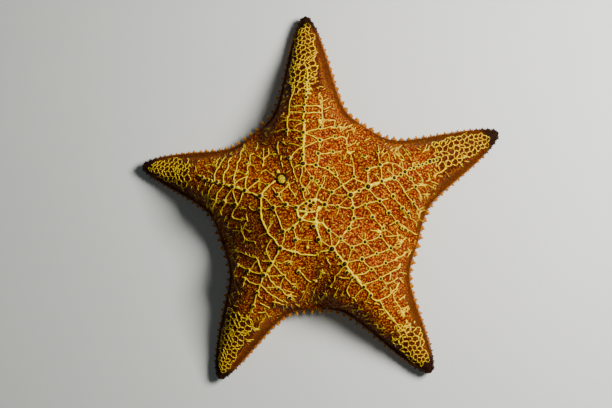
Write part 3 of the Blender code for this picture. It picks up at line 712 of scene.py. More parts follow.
@dataclass(frozen=True)
class Drawing:
    """The ridges and knobs that the photograph shows, as runs of its pixels.

    A place is "x,y", and a slash parts one run from the next.
    """

    swellings: str = """
        369,185.5 374,183.5 379,182 / 383,180.5 388,178.5 391,178 / 303.6,142.5 303.5,134.5 /
        303.4,130.5 303.5,123.5 / 243.5,190 240,188.5 235.5,186.7 / 230.5,185.7 227.5,184.6
        225,184 / 270,265.5 268,269 266.3,272 / 262.5,276.3 261.8,279.5 / 355.6,275.5 357.3,279.3
        360,283.3 / 345.5,151.3 350.5,153 / 375.5,230.5 381,231.7 / 399,241.6 401.5,241.6 /
        311.5,199 316,198.8 / 316,207 320,207.5 / 313.5,221.8 318.5,222.6 / 317,118.7 319.3,120.5
        321,124 / 263,157.5 263,160 / 262.6,163.5 262.2,166 / 276.3,172.8 277.3,171 279.3,170.3 /
        314.3,279.3 316.8,281.3 / 305.6,246.7 308.4,246.6
    """
    pad: str = """
        311.8,199.8 314.2,199 316.8,199.4 / 315.3,211 317.6,209.3 320.6,206.8 / 316.6,207
        318,210.5
    """
    crests: str = """
        350,194.5 354,192 358.3,190 363,188 367.3,186.3 372,184 377,182.3 381,181 386,179
        393,177.5 / 302.8,163.5 303,155 302.7,147 303,143 303.5,134 303,132 303.5,123 303,120 /
        260.3,195.5 256,194.5 252,192.5 247,192 244,190 240,188.5 232.8,186.5 227,184.5 224,184 /
        280.3,247.3 278.5,250 277.5,253 275,257 273,260 272.5,263.5 268,269 266,272 263.7,274
        262,278 / 331.5,248 334.5,250 337,253.5 340.5,257.5 346.5,266 352,274 355,276 360.5,284
        363,286
    """
    outer: str = """
        393,177.5 397,176 400,174 404,171 409,169 413,168 417,165.6 421.5,164.3 429,161.3 436,159
        / 303,120.8 302.7,117 303.8,112 304,108 304,105 305,99 305.8,92 306.5,87 306,80.5 307,76
        306,68 304,63 / 224,184 219,182 214.5,181.5 209.5,180.5 205,178 201,176 197,174.5 /
        262,278 260.5,283 258.7,288 257.3,291.5 255.5,296 254.5,300 253.3,304 252.5,308 251,313 /
        363,286 365.5,288.5 368.5,291.5 371,297 374,299.5 376,300.5 379,300 383,307 388,314
        394,321
    """
    loop: str = """
        302.8,163.5 308,164 315.2,164.7 321,167 326.8,168.8 331,172 335.3,175.5 338.5,178.5
        341,184 346,190 350,194.5 / 302.8,163.5 298,165.2 293,167 / 275.3,180.3 270,184 262,192
        260.3,195.5 / 260.3,195.5 260.7,203 261,208 260.3,212 261,217 263,222 265,227 267.3,230
        267.5,232.5 271,236 274,238.5 276,242 280.3,247.3 / 280.3,247.3 284,248.6 291.5,251
        294.5,250 300,254 306,254 311,254.5 315.5,254.6 322,250.3 326,250.7 331.5,248 / 331.5,248
        334.5,246 337,242 340,238 343,233.5 348.2,228 350,223 353,217.5 352.7,213 352,207 351,197
        350,194.5
    """
    middle: str = """
        296.5,207.5 299,205 304,202.3 306.7,200 311,199 315.5,198.6 319.4,201 324,204 / 298,209.8
        302,211 307.2,211.8 311,211.3 315,211 / 306,201.5 304.6,205 306,209 310,211 / 296,207.5
        297,213 300,219 305,220 310,221 316,222.3 322,222.3 325,226 328.3,230 / 317.5,208.5
        316.3,213 315.5,218.5 316,221 / 300,219 303.5,215.5 307,213 / 300,219 297,222 293.5,226.2
        288,228.6 283.3,230.8 / 318.5,208.3 324.3,204 / 316.3,222.5 316.3,228 318,233 319.8,237.5
    """
    main: str = """
        324.3,204 331,204.7 337,205.5 341,206.5 346,207.5 352,207 / 324.3,204 327,200 329,196
        331.5,192 335,188.5 339,187 341,184.5 / 331.5,190.5 326,189.5 320,186.5 317,184 311,178 /
        320,187 317.5,191 316,196 315.5,199 / 300.8,184 303,188.7 302.5,192 303,197 305,199.5 /
        302.5,147 297,149.3 293,153 291,157 290.3,160 / 273.3,207 276,206.5 281,205.7 285.5,204
        290,205.5 296,206.5 / 277,194.3 280,198 285.5,204 / 273.3,207 276,213 278.5,218 280,223
        281.3,228 283.3,230.8 / 271,186.8 277,194.3 284,188.5 288.5,183.5 / 328.3,230 333,232
        336,235 340,238 / 285,181 288,182.8 289,187 291,191 294,194 295,197 / 341,239 345,241.8
        351,247 / 351,247 353.5,245.3 358,244 363.8,241.3 368,240.5 373,239 379.3,235.5 /
        364.3,204 366,206.5 370.5,212.5 371.5,216 374,218 377,222 382,227.5 / 380,231.5
        379.3,235.5 383,239.5 386,243 389.5,247.5 391.5,250.5 / 369.5,229.3 374,230 380,231.5 /
        352,207 356,207.3 361,204.7 364.3,204 368,202.5 378.8,200 388,198 / 367.3,186.3 370,191
        373.5,194.5 378.8,200 382,203.5 385,207 387.8,211.8 391,214.5 396,221.5 / 366.8,169.3
        370.5,168 379.7,165 384,163 388,162 395,163.5 399,166 404,171.5 / 342,150.3 336,151.6
        331.8,152 326,153 317.5,153.5 318,158 317.6,162 315.2,165 / 366.8,169.3 367.5,174
        367.2,180 367.3,186 / 379.7,165 381,170 381.2,176 381,181 / 353.5,178 357,180 361,181.7
        367,185.5 / 341.5,184.5 345,183 349,180 353.5,177 353.3,170 353,166 352,160 350,153 /
        379.7,165 378.5,160 377.7,152.3 378.2,148 377.3,145 / 404.5,172 407,175 410,178.5
        414.7,186 416,189.5 418,191.5 420,195 421,199.5 / 394,178.5 398.5,182 401,186 404,191.5
        407,195.5 412.3,202 416,205.5 417,209.5 / 381,181 387,188 392.2,195.3 397,201.5
        401.5,207.3 407.5,213 409.5,215 409.5,217.8 / 396,221.5 400.5,224 404,226 406.7,229
        411,231 414,234 417.5,233.7 / 344,263 351,261 356,260 361,258.5 369,256 375.5,253
        384,250.7 388.5,248.5 / 361,259.5 365,263 370.3,268.5 366,272 361,274 352.5,274.7 /
        370.3,268.5 372.5,267 378,265.7 384.5,262.7 389,261.3 393,260.3 396,257 400,256 403,254.3
        405,250.5 / 361,284.3 369,282 376,280 379.5,277 383,275.5 387,273.5 390,271.5 394,269.7
        397,269.2 400.2,262.5 / 376,300.5 383,298.2 389,295 390,292 395,288.6 397,285.3 398.7,282
        / 363,287 360.5,290 355.6,295 354,297.5 351,296.7 / 343.5,265.5 338.5,272 334,276
        334.2,280 330,285 331.3,287.5 / 352,277.5 349,284 346,289.5 347.3,293 349.7,296 / 273,264
        279,270.5 283,275 288,280 291.3,283.7 295.3,283.4 296.3,280 / 266.3,272.5 270.3,280
        276,286.3 279,286 281,289 285.3,294.3 288.3,294.6 291.3,293 / 260.5,284 264,288 268,292
        276,297.2 283,301.2 / 300.7,272 304,276 307,279.3 311,281.6 / 262.5,273.5 258,273 254,272
        251,271 249,268 246,268.5 240,265.6 238.5,262.7 / 260.5,283.5 257,284.2 249,281.3
        245.6,277.3 241,276 / 255,256.3 257.3,259 260.5,268 262,271.3 / 247,192 246.6,190
        251,185.5 257,181.3 262,181.7 267.5,185 / 247.5,175.5 245.7,178.3 244.7,188 245,190 /
        248,174 246.7,169 247.2,165.3 250,164.2 249.3,161 249.5,154 254.3,153.3 / 234.3,184
        233.2,178 235,171.6 236.6,168 236.5,163 240.2,158.5 239.3,155 240.5,151.6 243.2,147.5 /
        247.5,176 242.5,177.6 238,179.8 234.3,184.5 / 235.5,171.3 240,171.6 247,175.3 / 224,184
        223,178.5 223.3,173.3 227.3,168.6 228.2,166 228,160.5 231.3,157 / 214.5,181.7 214,178
        214.4,174 216.2,169.7 219,166.6 221,162 225.3,156.7 / 232.5,188 226.5,195 225,198
        226.5,202 223.7,205 220,210.5 221.3,215 / 243,191 241.7,195 241,198 238,204 234,208.6
        231.6,215 233.7,217.7 238,218.6 243,219.7 / 223.5,185.5 218,191 216.3,195.3 216,200
        212,208 212.6,212 / 213.7,183.3 209,190 207.5,194 208,198 206.7,208.5 / 255.5,155
        262.5,158.6 265.5,157 268.5,154.3 276,153.8 / 303,132.5 311,135 318.5,139.7 321,140.6
        328,138 332,136.6 334.5,139 340,136.3 343,136.2 346,139 345.6,143 347.6,146.5 / 302.7,147
        310,144 318.5,140.3 319.6,145 318.4,149.5 / 303,132.5 311,130 319.3,127.7 322,129
        326,127.2 331,126.2 334.5,128 338,126.2 346.5,127.3 / 303.8,112 307,113 312,112.2
        321.3,112.6 321.3,108 317,105.2 310,105.6 304,105 / 303,120.8 294,120 291,119 287,120.6
        281,120 / 303.8,112 299,112.2 291.5,111.3 288.5,112.5 / 304,105 300.5,105.3 293,106
        290,106.7 / 303,132.5 299,131 291,129.3 287.3,130.3 281,129 275.7,132 / 302.3,147.3
        298,145.3 292,143 287.6,143.6 / 272.5,222 269,226 267.3,229.5 / 259,170.5 262.5,171.5
        264.7,169.3 269,172.3 276.5,177.5 / 400,243 397.3,238 396,231
    """
    thin: str = """
        320,186 323,183.5 324.2,178 323.8,175 / 311,178 309,173.5 303.5,165.5 / 311,178 308.3,183
        305.5,187.3 309,193 / 305.5,187.5 300.8,184 299.3,180.5 301.5,172 301.7,166 / 290.5,160
        291,164 293,167.5 293,171 297,180 / 260.3,195.5 265,198 269,202 273.3,207 / 261.5,208.2
        266,208.5 273.3,207 / 288.8,183 293.5,181.5 / 260.3,195.5 264,194.7 267,195 / 283.3,230.8
        284,235 283,240 280.3,246.5 / 283.3,230.8 280,233.5 277,235 / 293,227 295.3,236 295.3,239
        295,245 294.7,249.5 / 295.3,239 304,239.6 312,239.8 / 308,240 307,246.5 / 319.8,237.5
        320.3,241 320.7,246 / 320.2,240 324,242.3 330.5,247 / 328.3,230 329.7,234 330.6,240
        331.3,245 / 351,247 355,250 357,252.8 / 322.5,222 323,217.5 / 351,248 349.5,253 347.3,262
        / 363.8,241.3 364.6,237 364.3,232 / 363.5,240.5 357,234.5 / 363.8,241.3 367,244 369.5,248
        375.5,253 / 353,217.5 356,218.3 364,217.5 / 348.5,228 353,228.6 358.2,226 358.6,223 /
        383.6,222.5 382.5,225.5 381,230 / 391.5,250.5 393,253 / 337,206 343,200.5 350,194.5 /
        333.5,193 338,194.6 349,194.6 / 337,207 338,211 336,214.5 / 367,194 366.4,200 / 372,172.5
        376,175.5 381,181 / 346,147 348,152 354.5,150.7 / 344,157 346,153 / 344,164 348,164.5
        353,166.5 / 330,168 334,167.5 336.6,173.5 / 393,177.5 392.7,170 391.3,162.5 / 386,168.5
        390,172 393,175 / 389,160 389,156 386.5,152 / 397,152.5 397.5,156 400,159.3 404,160 /
        401.3,147 403.5,148.3 405,152 409,156.7 411,160 / 401,161 402.8,168 / 412,162 412.2,166.5
        / 414.7,186 408,190 404,191.5 / 417,185.3 422.5,183 424.5,185 427.2,195 427,199.5 /
        421.8,182.5 422,179 416.5,172 413.5,168.5 / 425,180.7 429,179.7 428.5,173 / 416.5,160.5
        422.5,168.5 / 422,152 424,150 429,149.3 / 434,177 435,173.3 440,172 446.5,167 / 410,218
        413,219 415.5,222 416,226.5 / 415.5,222 418,219.5 419.6,211 424.7,209.5 425.3,206.5 /
        424.3,209.7 430.5,212.7 / 418.8,219 424,221.5 / 406.8,229 407.2,232.5 / 395,221 388,225 /
        382,228.5 386,229.5 392,233.7 / 384,235.6 389,235.6 396.5,235.3 399.5,234 / 400.5,242
        406,236 / 400,243 399.3,247 / 394,246.5 395.3,243 / 408.5,237 408.7,242 / 396,257
        396.6,261.5 / 411.7,248.7 407,256 / 372.6,268 376.3,274 / 359,262 357,270.5 / 362,251.5
        363.2,255 / 344,263 336,263.7 / 338,276.5 345,277.7 352,277 / 328,285 331,286.3 /
        390,271.5 389.5,279.5 / 382,279.3 385.7,284.4 392,281 397.3,276.8 / 385.6,284.5 385.2,287
        379.3,291.5 / 390,291.5 389.3,286 / 392.3,292 393,297 397,304 404,314 402.7,317.5 /
        376,301 374.3,304 / 377.5,309 381,308.6 384.3,309.7 / 380,315 386,311.3 / 386,318
        392,317.3 / 365.2,283 365.3,288.5 / 370,291.5 372.2,293 371.8,297 / 354,297.6 356.3,301.5
        / 368.4,294.5 367,299 363,302 / 326,256.5 327.6,261.5 330.6,264.6 / 289.5,294.6 294.5,299
        / 276.5,261.5 280,263 288,260.3 290,260.3 291.6,265.5 / 290,260 291.2,257 294.6,250.5 /
        296,284 297.7,289.5 / 283,277 279,286 / 268,275.3 283,275 / 265.5,287.2 276,286.7 /
        297,270.5 297.3,268.7 304.7,266.7 / 319.7,269.7 323.6,274 / 320.5,271 319.5,276
        317.3,278.5 / 300.3,291.6 304,290.3 / 304,291 301,298 / 308.3,283 305,290 / 312,290
        314,292 311,299 / 322,292.2 326,292.7 326.6,295 / 328,288.5 326,292 / 324,296.5 320,299.7
        / 257.3,259.5 254,262.3 250.7,268.5 / 247.5,272 246.5,275.3 / 244,280.5 242.7,286
        240,287.3 / 255.5,292.5 262,298.5 / 270,259.3 266.5,253 265.8,249 267.6,243.5 270,240.3 /
        273,260 266,261.2 260.5,260.2 / 267,232.3 260,235 257.5,237.5 / 258.5,183.3 258.2,188.5 /
        250,164.3 254.5,165.7 / 235.3,170.3 230.3,169.3 / 234.5,173.3 226.5,178 / 243.2,147.5
        243.6,143 / 226.5,202.3 236,203.5 / 232.3,189.5 233.3,194 236.5,202.5 / 240.5,206.3
        244,206 / 216,200.3 211,198.2 / 217.5,200.3 221.5,200.6 / 205.5,182 204.3,186 / 202,190
        202,195.5 / 246,215 247.5,221.6 / 246,221.7 240.7,231.5 / 228.7,221 227,226 228.7,230 /
        231.5,229.6 240,230.3 / 247,230 248.7,232.3 250.7,229.7 / 248.3,205.3 250.5,208.5
        254,209.6 260.5,208.5 / 263,147 263,154 263,163 262.3,167 / 268.5,154 268,147 / 277,145
        278.6,154 / 281,155 280.3,160 / 282,157 288,156.5 / 281,161.5 282.2,167 / 347.6,146.5
        352,143.6 355,142.5 355.6,139 / 303,120.8 309,121.7 / 323,119.6 327,119 335,120.3 /
        320,103.5 320.6,99.3 317.6,99.6 / 308,93.3 311.5,93.2 / 306.5,88 310.5,88.3 / 318,94.3
        319.6,92 / 303,121 293,127 / 287,115 287,122 287.2,131 287,136 / 281,141 286.5,144.7 /
        278.3,141 276.3,147.3 277.6,150.5 / 299.6,137 297,136.6 293,138.6 / 273.3,220.5 270,220.7
        / 301.3,87.8 306,88.6 310.7,88.4 / 301.3,93.6 306,93 310.7,93.6 / 290,99.8 292.5,98.6
        295,98.8 / 294,84 293.5,91 290,99 289,106 288.8,113 287,120 / 316,87 318,88 / 318,93.6
        321.2,96.7 321.2,104 321.7,113 322,120 322.3,127 / 268.5,306 268,309 / 302,83 305,84
        309,83 313,84 / 252.9,305 250,310 248.6,316 249.4,320 251.6,324 253.7,327.8 258,327.8
        259.7,322.2 / 259.7,322.2 262.3,320.5 264.8,317 264.4,313.7 / 248.6,316 244,318 240,316 /
        389,323 392,320.5 / 379.5,304.3 376,302.6 373.5,303 / 391.6,315 388,316.6 386.4,318.5 /
        395,320.3 392,320 390,318.5 / 396,324.6 393.3,326.3 394.2,329 / 400.3,328 396.8,329.8
        396,332.4 / 389,333 393,331 / 394,321 398,326 401,329 404,330 406,334 407,337.5 /
        403.7,333.2 400.3,335 398.5,340 / 400,309 403,313 402,316 / 406,318.5 405,321.5 408,322.5
        409.5,326 410.5,329.5 / 414,320 414,323 / 237,208.2 241,207.2 246,208.2 / 235,218 241,220
        246,218.6 247.8,221 / 246,218.6 246,213 / 240.9,225 240.9,230 238,233 235,235 / 240.9,230
        245,238.8 243,241.8 240,242.8 / 245,238.8 248.8,240.8 254.8,240.8 254.8,243.8 / 245,229
        248,230 251,231 / 245,250.7 246,254.6 / 229.5,248.5 235,249.7 240,251.7 245,253.6
        251.8,257 256.7,257.6 / 322,271.4 325,273.4 / 322,268 322,271.4 319,275.4 320,278.3 /
        312,279.3 315,279.6 / 205,171 209,172 213,174 / 206,163.5 212,165 217,166 / 283,288.5
        289,291 294,292 / 315,287 313,291.5 / 289.5,170 285.5,172.6 / 338.5,287 335,292.5
        333.5,297 / 343,290 341,296 / 272,301 276,302 284,304 / 259,302 266,305.5 270,308 /
        225,293 229,297 231,304
    """
    large_knobs: str = """
        302.8,163.5 350,194.5 331.5,248 280.3,247.3 260.3,195.5 367.3,186.3 393.3,177.5 344,263
    """
    knobs: str = """
        315.2,165 317.3,153.5 331.8,152 326.8,168 335.3,175 311,178 303,189 277,194.3 273.3,207
        285.5,204 296,207 324.3,204 331.5,192 337,206 352,207 300,219 293,227 283.3,230.8
        295.3,239 318.3,238.5 313.5,225.5 353,217.5 348.2,228 328.3,230 340,238 351,247
        363.8,241.3 379.3,235.5 371.5,216 382,227.5 361,258.5 370.3,268.5 384.5,262.5 366.8,169.3
        381,181 379.7,165 378.8,200 404,171.5 414.7,186 392.2,195.3 401.5,207.3 387.8,211.8
        396,221.5 389.5,247.5 379.8,278 363,286 370,294.3 283,275 263.7,274 271,262 232.8,186.5
        245,190 235.8,203.5 224.3,201 303,132.5 303,120.8 318.7,140 319.3,127.3 346.8,271.3
        413,167.5 428.8,161.3 237.7,264.7 248.5,270 277.8,287.8 288.7,296.3
    """
    small_knobs: str = """
        302.5,154.5 267.5,185 309.5,200.5 306,203 313.3,202.3 304,208.5 309.5,209.8 320,186
        259.5,209 289.3,157.3 341,184.3 353.5,177 358.3,190.3 364.8,156.5 377.7,152.3 313.7,219
        293.3,252.3 288.7,262.3 298,270.7 375.5,253 352,276.3 337.7,255.7 399.8,174.3 409.3,168.5
        417.5,165.3 421.5,164.3 425.3,162.8 432.5,160.5 435.5,159.5 409.8,178.3 412.3,202
        407,211.7 401,227 403.3,228.3 333.5,136.5 335,126.5 303.8,112 304,105 305.5,97.5 305.8,92
        306,80.5 301.3,145.3 301.8,138.8 287.3,129.7 320,118.5 222.7,183 217.5,181.5 211.5,180.5
        208,179.5 203,177 257.3,291.5 253.3,305 293.6,286.3 245.5,173 244.5,278.5 364.3,204
        316.7,180.7 257.5,180 247,163
    """


PENS = {
    "swellings": Pen(2.1 * MM, 1.1 * MM, 0.6),
    "pad": Pen(2.2 * MM, 0.8 * MM, 0.5),
    "crests": Pen(1.25 * MM, 1.0 * MM, 0.6),
    "outer": Pen(1.0 * MM, 0.8 * MM, 0.3),
    "loop": Pen(1.0 * MM, 0.8 * MM, 0.5),
    "middle": Pen(1.15 * MM, 0.8 * MM, 0.6),
    "main": Pen(0.7 * MM, 0.6 * MM, 0.2),
    "thin": Pen(0.5 * MM, 0.45 * MM, 0.05),
}
SPUR = Pen(0.38 * MM, 0.3 * MM, 0.0)
STREAK = Pen(0.42 * MM, 0.4 * MM, 0.0)
MOSAIC = Pen(0.36 * MM, 0.5 * MM, 0.05)


@dataclass(frozen=True)
class Line:
    """A ridge's places in the star's plan, and its pen."""

    star: Array
    pen: Pen


@dataclass
class Net:
    """The ridges of the upper side and the knobs on them, drawn in plan."""

    form: BodyForm
    lens: Lens
    dice: np.random.Generator
    step: float = 0.6 * MM
    wobble: float = 0.2 * MM
    wobble_step: float = 2.2
    knob_sizes: tuple[float, float, float] = (1.2, 0.97, 0.82)
    mosaic_starts: tuple[float, ...] = (80 * MM, 72 * MM, 78 * MM, 74 * MM, 89 * MM)
    mosaic_shifts: tuple[float, ...] = (-1.5 * MM, -1.2 * MM, 1.0 * MM, 2.2 * MM, -1.6 * MM)
    mosaic_pitch: tuple[float, float] = (4.3 * MM, 2.5 * MM)
    mosaic_end: float = 7.0 * MM
    mosaic_edge: float = 2.4 * MM
    mosaic_swell: float = 0.2 * MM
    mosaic_jitter: float = 0.23
    mosaic_open: float = 0.08
    comb_row: float = 0.866
    comb_corner: float = 0.577
    comb_mix: tuple = ((12.9898, 78.233), (37.7, 4.581))
    streaks: int = 26
    streak_share: tuple[float, float] = (0.0, 0.7)
    streak_depth: tuple[float, float] = (2.0 * MM, 9.0 * MM)
    streak_length: tuple[float, float] = (1.5 * MM, 4.5 * MM)
    streak_lean: float = 0.04
    spur_gap: int = 6
    spur_share: float = 0.3
    spur_lean: float = 0.7
    spur_turn: float = 0.8
    spur_length: tuple[float, float] = (0.9 * MM, 2.4 * MM)
    flecks: int = 40
    fleck_out: tuple[float, float] = (0.08, 0.68)
    fleck_across: tuple[float, float] = (0.06, 0.97)
    fleck_length: float = 1.6 * MM
    vent: str = "309.8,205.3"
    lines: list[Line] = field(default_factory=list)
    knobs: list[tuple[Array, float]] = field(default_factory=list)

    def seen(self, drawn: str) -> list[Array]:
        """The star's places that each run of pixels shows."""
        runs = [run.split() for run in drawn.split("/")]
        marks = [np.array([spot.split(",") for spot in run], dtype=float) for run in runs]
        star = self.lens.onto(self.form, np.concatenate(marks))
        return np.split(star, np.cumsum([len(mark) for mark in marks])[:-1])

    def draw(self, path: Array, pen: Pen) -> None:
        """Adds a ridge along a path, resampled at an even step, eased and made a little uneven."""
        reach = np.linalg.norm(np.diff(path, axis=0), axis=1)
        along = np.concatenate([[0.0], np.cumsum(reach)])
        count = max(int(along[-1] / self.step) + 1, 4)
        share = np.linspace(0, along[-1], count)
        line = np.stack([np.interp(share, along, path[:, i]) for i in range(2)], axis=-1)
        for _ in range(2):
            line[1:-1] = 0.25 * line[:-2] + 0.5 * line[1:-1] + 0.25 * line[2:]
        ahead = unit(np.gradient(line, axis=0))
        across = np.stack([-ahead[:, 1], ahead[:, 0]], axis=-1)
        ends = np.minimum(1.0, np.minimum(share, share[::-1]) / MM)
        sway = wavy(count, self.wobble_step, self.dice) * self.wobble * ends
        self.lines.append(Line(line + across * sway[:, None], pen))

    def lay(self) -> None:
        """The whole net: what the photograph shows, then the arms' ends and the finest lines."""
        drawing = Drawing()
        for name, pen in PENS.items():
            for path in self.seen(getattr(drawing, name)):
                self.draw(path, pen)
        knobs = (drawing.large_knobs, drawing.knobs, drawing.small_knobs)
        for drawn, size in zip(knobs, self.knob_sizes):
            self.knobs += [(star, size) for star in self.seen(drawn)[0]]
        for arm in range(self.form.sectors // 2):
            self._lay_mosaic(arm)
        for sector in range(self.form.sectors):
            self._lay_streaks(np.array(sector))
        self._lay_spurs()

    def _lay_mosaic(self, arm: int) -> None:
        """Small round cells on the arm's outer part: a honeycomb that shrinks to the tip.

        Cells are set in even rows in a plane where each is 1 across, and then the plane is
        scaled down exponentially along the arm.  A side that two cells share is drawn once.
        """
        end = self.form.length[2 * arm] - self.mosaic_end
        wide, narrow = self.mosaic_pitch
        first = self.mosaic_starts[arm]
        rate = (wide - narrow) / (end - first)
        reach = math.log(wide / narrow) / rate
        column, line = np.meshgrid(np.arange(-1, int(reach) + 1), np.arange(-2, 3))
        middle = np.stack([column + 0.5 * (line % 2), line * self.comb_row], axis=-1)
        middle = middle.reshape(-1, 1, 2)
        corners = middle + self.comb_corner * ray(np.radians(np.arange(30, 391, 60)))
        key = np.round(corners * 6)
        first_mix, second_mix = self.comb_mix
        jitter = np.sin(key[..., ::-1] * first_mix + key * second_mix + arm) * self.mosaic_jitter
        spots = np.concatenate([corners + jitter, middle], axis=1)
        shrink = np.exp(-rate * spots[..., 0])
        x = first + wide / rate * (1 - shrink)
        y = (spots[..., 1] * wide + self.mosaic_shifts[arm]) * shrink
        star = self.form.spread(np.array(2 * arm), np.stack([x, y], axis=-1))
        sectors, plan = self.form.gather(star[:, -1])
        inside = self.form.edge_distance(sectors, plan) > self.mosaic_edge
        ragged = 0.5 * np.abs(y[:, -1]) + self.dice.uniform(-2, 3, len(x)) * MM
        inside &= x[:, -1] > first + ragged
        drawn = set()
        for row, marks, size in zip(star[inside], key[inside], shrink[inside, -1]):
            pen = replace(MOSAIC, width=MOSAIC.width + self.mosaic_swell * size)
            for i in range(6):
                side = tuple(marks[i] + marks[i + 1])
                if side not in drawn and self.dice.random() > self.mosaic_open:
                    drawn.add(side)
                    self.draw(row[i : i + 2], pen)

    def _lay_streaks(self, sector: Array) -> None:
        """Short faint lines that run down the flank near a side's edge."""
        count = self.streaks
        share = self.dice.uniform(*self.streak_share, count)
        deep = self.dice.uniform(*self.streak_depth, count)
        long = self.dice.uniform(*self.streak_length, count)
        lean = self.dice.uniform(-self.streak_lean, self.streak_lean, count)
        start = self.form.margin(sector, share, -deep - long)
        end = self.form.margin(sector, share + lean, -deep)
        for pair in zip(start, end):
            self.draw(self.form.spread(sector, np.array(pair)), STREAK)

    def _lay_spurs(self) -> None:
        """Short side lines that run from the ridges into the cells, and flecks of two rays."""
        for line in list(self.lines):
            spots = np.arange(3, len(line.star) - 3, self.spur_gap)
            for spot in spots[self.dice.random(len(spots)) < self.spur_share]:
                ahead = unit(line.star[spot + 1] - line.star[spot - 1])
                across = np.array([-ahead[1], ahead[0]]) * self.dice.choice([-1, 1])
                away = unit(across + ahead * self.dice.uniform(-self.spur_lean, self.spur_lean))
                self._spur(line.star[spot], away, self.dice.uniform(*self.spur_length))
        for sector in np.repeat(np.arange(self.form.sectors), self.flecks):
            u = np.array(self.dice.uniform(*self.fleck_out))
            w = np.array(self.dice.uniform(*self.fleck_across))
            place = self.form.spread(sector, self.form.plan(sector, u, w))
            self._spur(place, ray(self.dice.uniform(0, 2 * np.pi)), self.fleck_length)

    def _spur(self, start: Array, away: Array, length: float) -> None:
        """A short crooked line from a place."""
        turn = self.dice.uniform(-self.spur_turn, self.spur_turn)
        bent = np.array(rotated(*away, turn))
        nodes = [start, start + away * length * 0.5, start + (away + bent) * length * 0.5]
        self.draw(np.array(nodes), SPUR)

    def samples(self) -> Array:
        """All places on the ridges, for measuring distances to them."""
        return np.concatenate([line.star for line in self.lines]).astype(np.float32)

    def distance(self, star: Array, chunk: int = 4000) -> Array:
        """Distance in plan from places to the nearest ridge, by squares of whole blocks."""
        marks = self.samples()
        length = (marks**2).sum(axis=1)
        flat = star.reshape(-1, 2).astype(np.float32)
        found = np.empty(len(flat), dtype=np.float32)
        for start in range(0, len(flat), chunk):
            part = flat[start : start + chunk]
            square = (part**2).sum(axis=1)[:, None] + length[None, :] - 2 * part @ marks.T
            found[start : start + chunk] = np.sqrt(np.maximum(square.min(axis=1), 0))
        return found.reshape(star.shape[:-1]).astype(float)


# colours and finishes
def tone(red: int, green: int, blue: int) -> tuple[float, float, float, float]:
    """A screen colour as a shader colour."""
    parts = [c / 255 for c in (red, green, blue)]
    linear = [c / 12.92 if c <= 0.04045 else ((c + 0.055) / 1.055) ** 2.4 for c in parts]
    return (*linear, 1.0)


class Graph:
    """A node tree that is being built."""

    def __init__(self, tree: bpy.types.NodeTree) -> None:
        """Keeps the tree."""
        self.tree = tree

    def node(self, kind: str, **settings: object) -> bpy.types.Node:
        """A new node with some of its settings changed."""
        node = self.tree.nodes.new(kind)
        for key, value in settings.items():
            setattr(node, key, value)
        return node

    def feed(self, socket: bpy.types.NodeSocket, source: object) -> None:
        """Links a socket to a source, or sets its value."""
        if isinstance(source, bpy.types.NodeSocket):
            self.tree.links.new(source, socket)
        else:
            socket.default_value = source

    def math(self, operation: str, *sources: object) -> bpy.types.NodeSocket:
        """A sum, product or the like of values."""
        node = self.node("ShaderNodeMath", operation=operation)
        for socket, source in zip(node.inputs, sources):
            self.feed(socket, source)
        return node.outputs[0]

    def span(self, value: object, low: float, high: float) -> bpy.types.NodeSocket:
        """A value as a smooth share between low and high."""
        node = self.node("ShaderNodeMapRange", interpolation_type="SMOOTHSTEP")
        for name, source in (("Value", value), ("From Min", low), ("From Max", high)):
            self.feed(node.inputs[name], source)
        return node.outputs["Result"]

    def mix(self, share: object, first: object, second: object) -> bpy.types.NodeSocket:
        """A blend of two colours."""
        node = self.node("ShaderNodeMix", data_type="RGBA")
        for index, source in ((0, share), (6, first), (7, second)):
            self.feed(node.inputs[index], source)
        return node.outputs[2]

    def noise(self, place: object, scale: float, detail: float = 2.0) -> bpy.types.NodeSocket:
        """Cloudy noise round 0.5."""
        node = self.node("ShaderNodeTexNoise")
        for name, source in (("Vector", place), ("Scale", scale), ("Detail", detail)):
            self.feed(node.inputs[name], source)
        return node.outputs["Fac"]

    def attribute(self, name: str) -> bpy.types.NodeSocket:
        """A value that the mesh carries."""
        return self.node("ShaderNodeAttribute", attribute_name=name).outputs["Fac"]


def group_call(graph: Graph, group: bpy.types.NodeTree, **sources: object) -> bpy.types.Node:
    """A use of a node group, with its inputs fed by name."""
    node = graph.node("ShaderNodeGroup")
    node.node_tree = group
    for name, source in sources.items():
        graph.feed(node.inputs[name], source)
    return node


@dataclass(frozen=True)
class Palette:
    """The animal's colours, with painted shade in the walls' brown and a painted highlight on the
    tubercles' tops.
    """

    cell: tuple = tone(156, 50, 8)
    maroon: tuple = tone(78, 17, 4)
    hollow: tuple = tone(52, 17, 5)
    fleck: tuple = tone(194, 146, 0)
    # the walls' own dark brown and its flecks, made darker still as painted shade on the flanks
    wall: tuple = tone(84, 40, 6)
    wall_fleck: tuple = tone(140, 78, 0)
    tip: tuple = tone(38, 18, 10)
    ridge: tuple = tone(240, 212, 0)
    ridge_rim: tuple = tone(196, 142, 0)
    cream: tuple = tone(250, 238, 20)
    knob: tuple = tone(30, 9, 13)
    # the tubercles' lighter tops: a painted highlight
    knob_painted_highlight: tuple = tone(70, 24, 20)
    collar: tuple = tone(232, 212, 0)
    spine: tuple = tone(166, 96, 0)
    spine_top: tuple = tone(212, 156, 0)
    valve: tuple = tone(178, 84, 0)
    valve_top: tuple = tone(232, 160, 0)
    under: tuple = tone(206, 146, 70)
    under_fleck: tuple = tone(164, 84, 30)
    flesh: tuple = tone(180, 100, 62)
    feet: tuple = tone(220, 180, 130)
    sieve: tuple = tone(232, 206, 0)


PALETTE = Palette()
REGIONS = ("ridge", "wall", "tip", "under", "band")


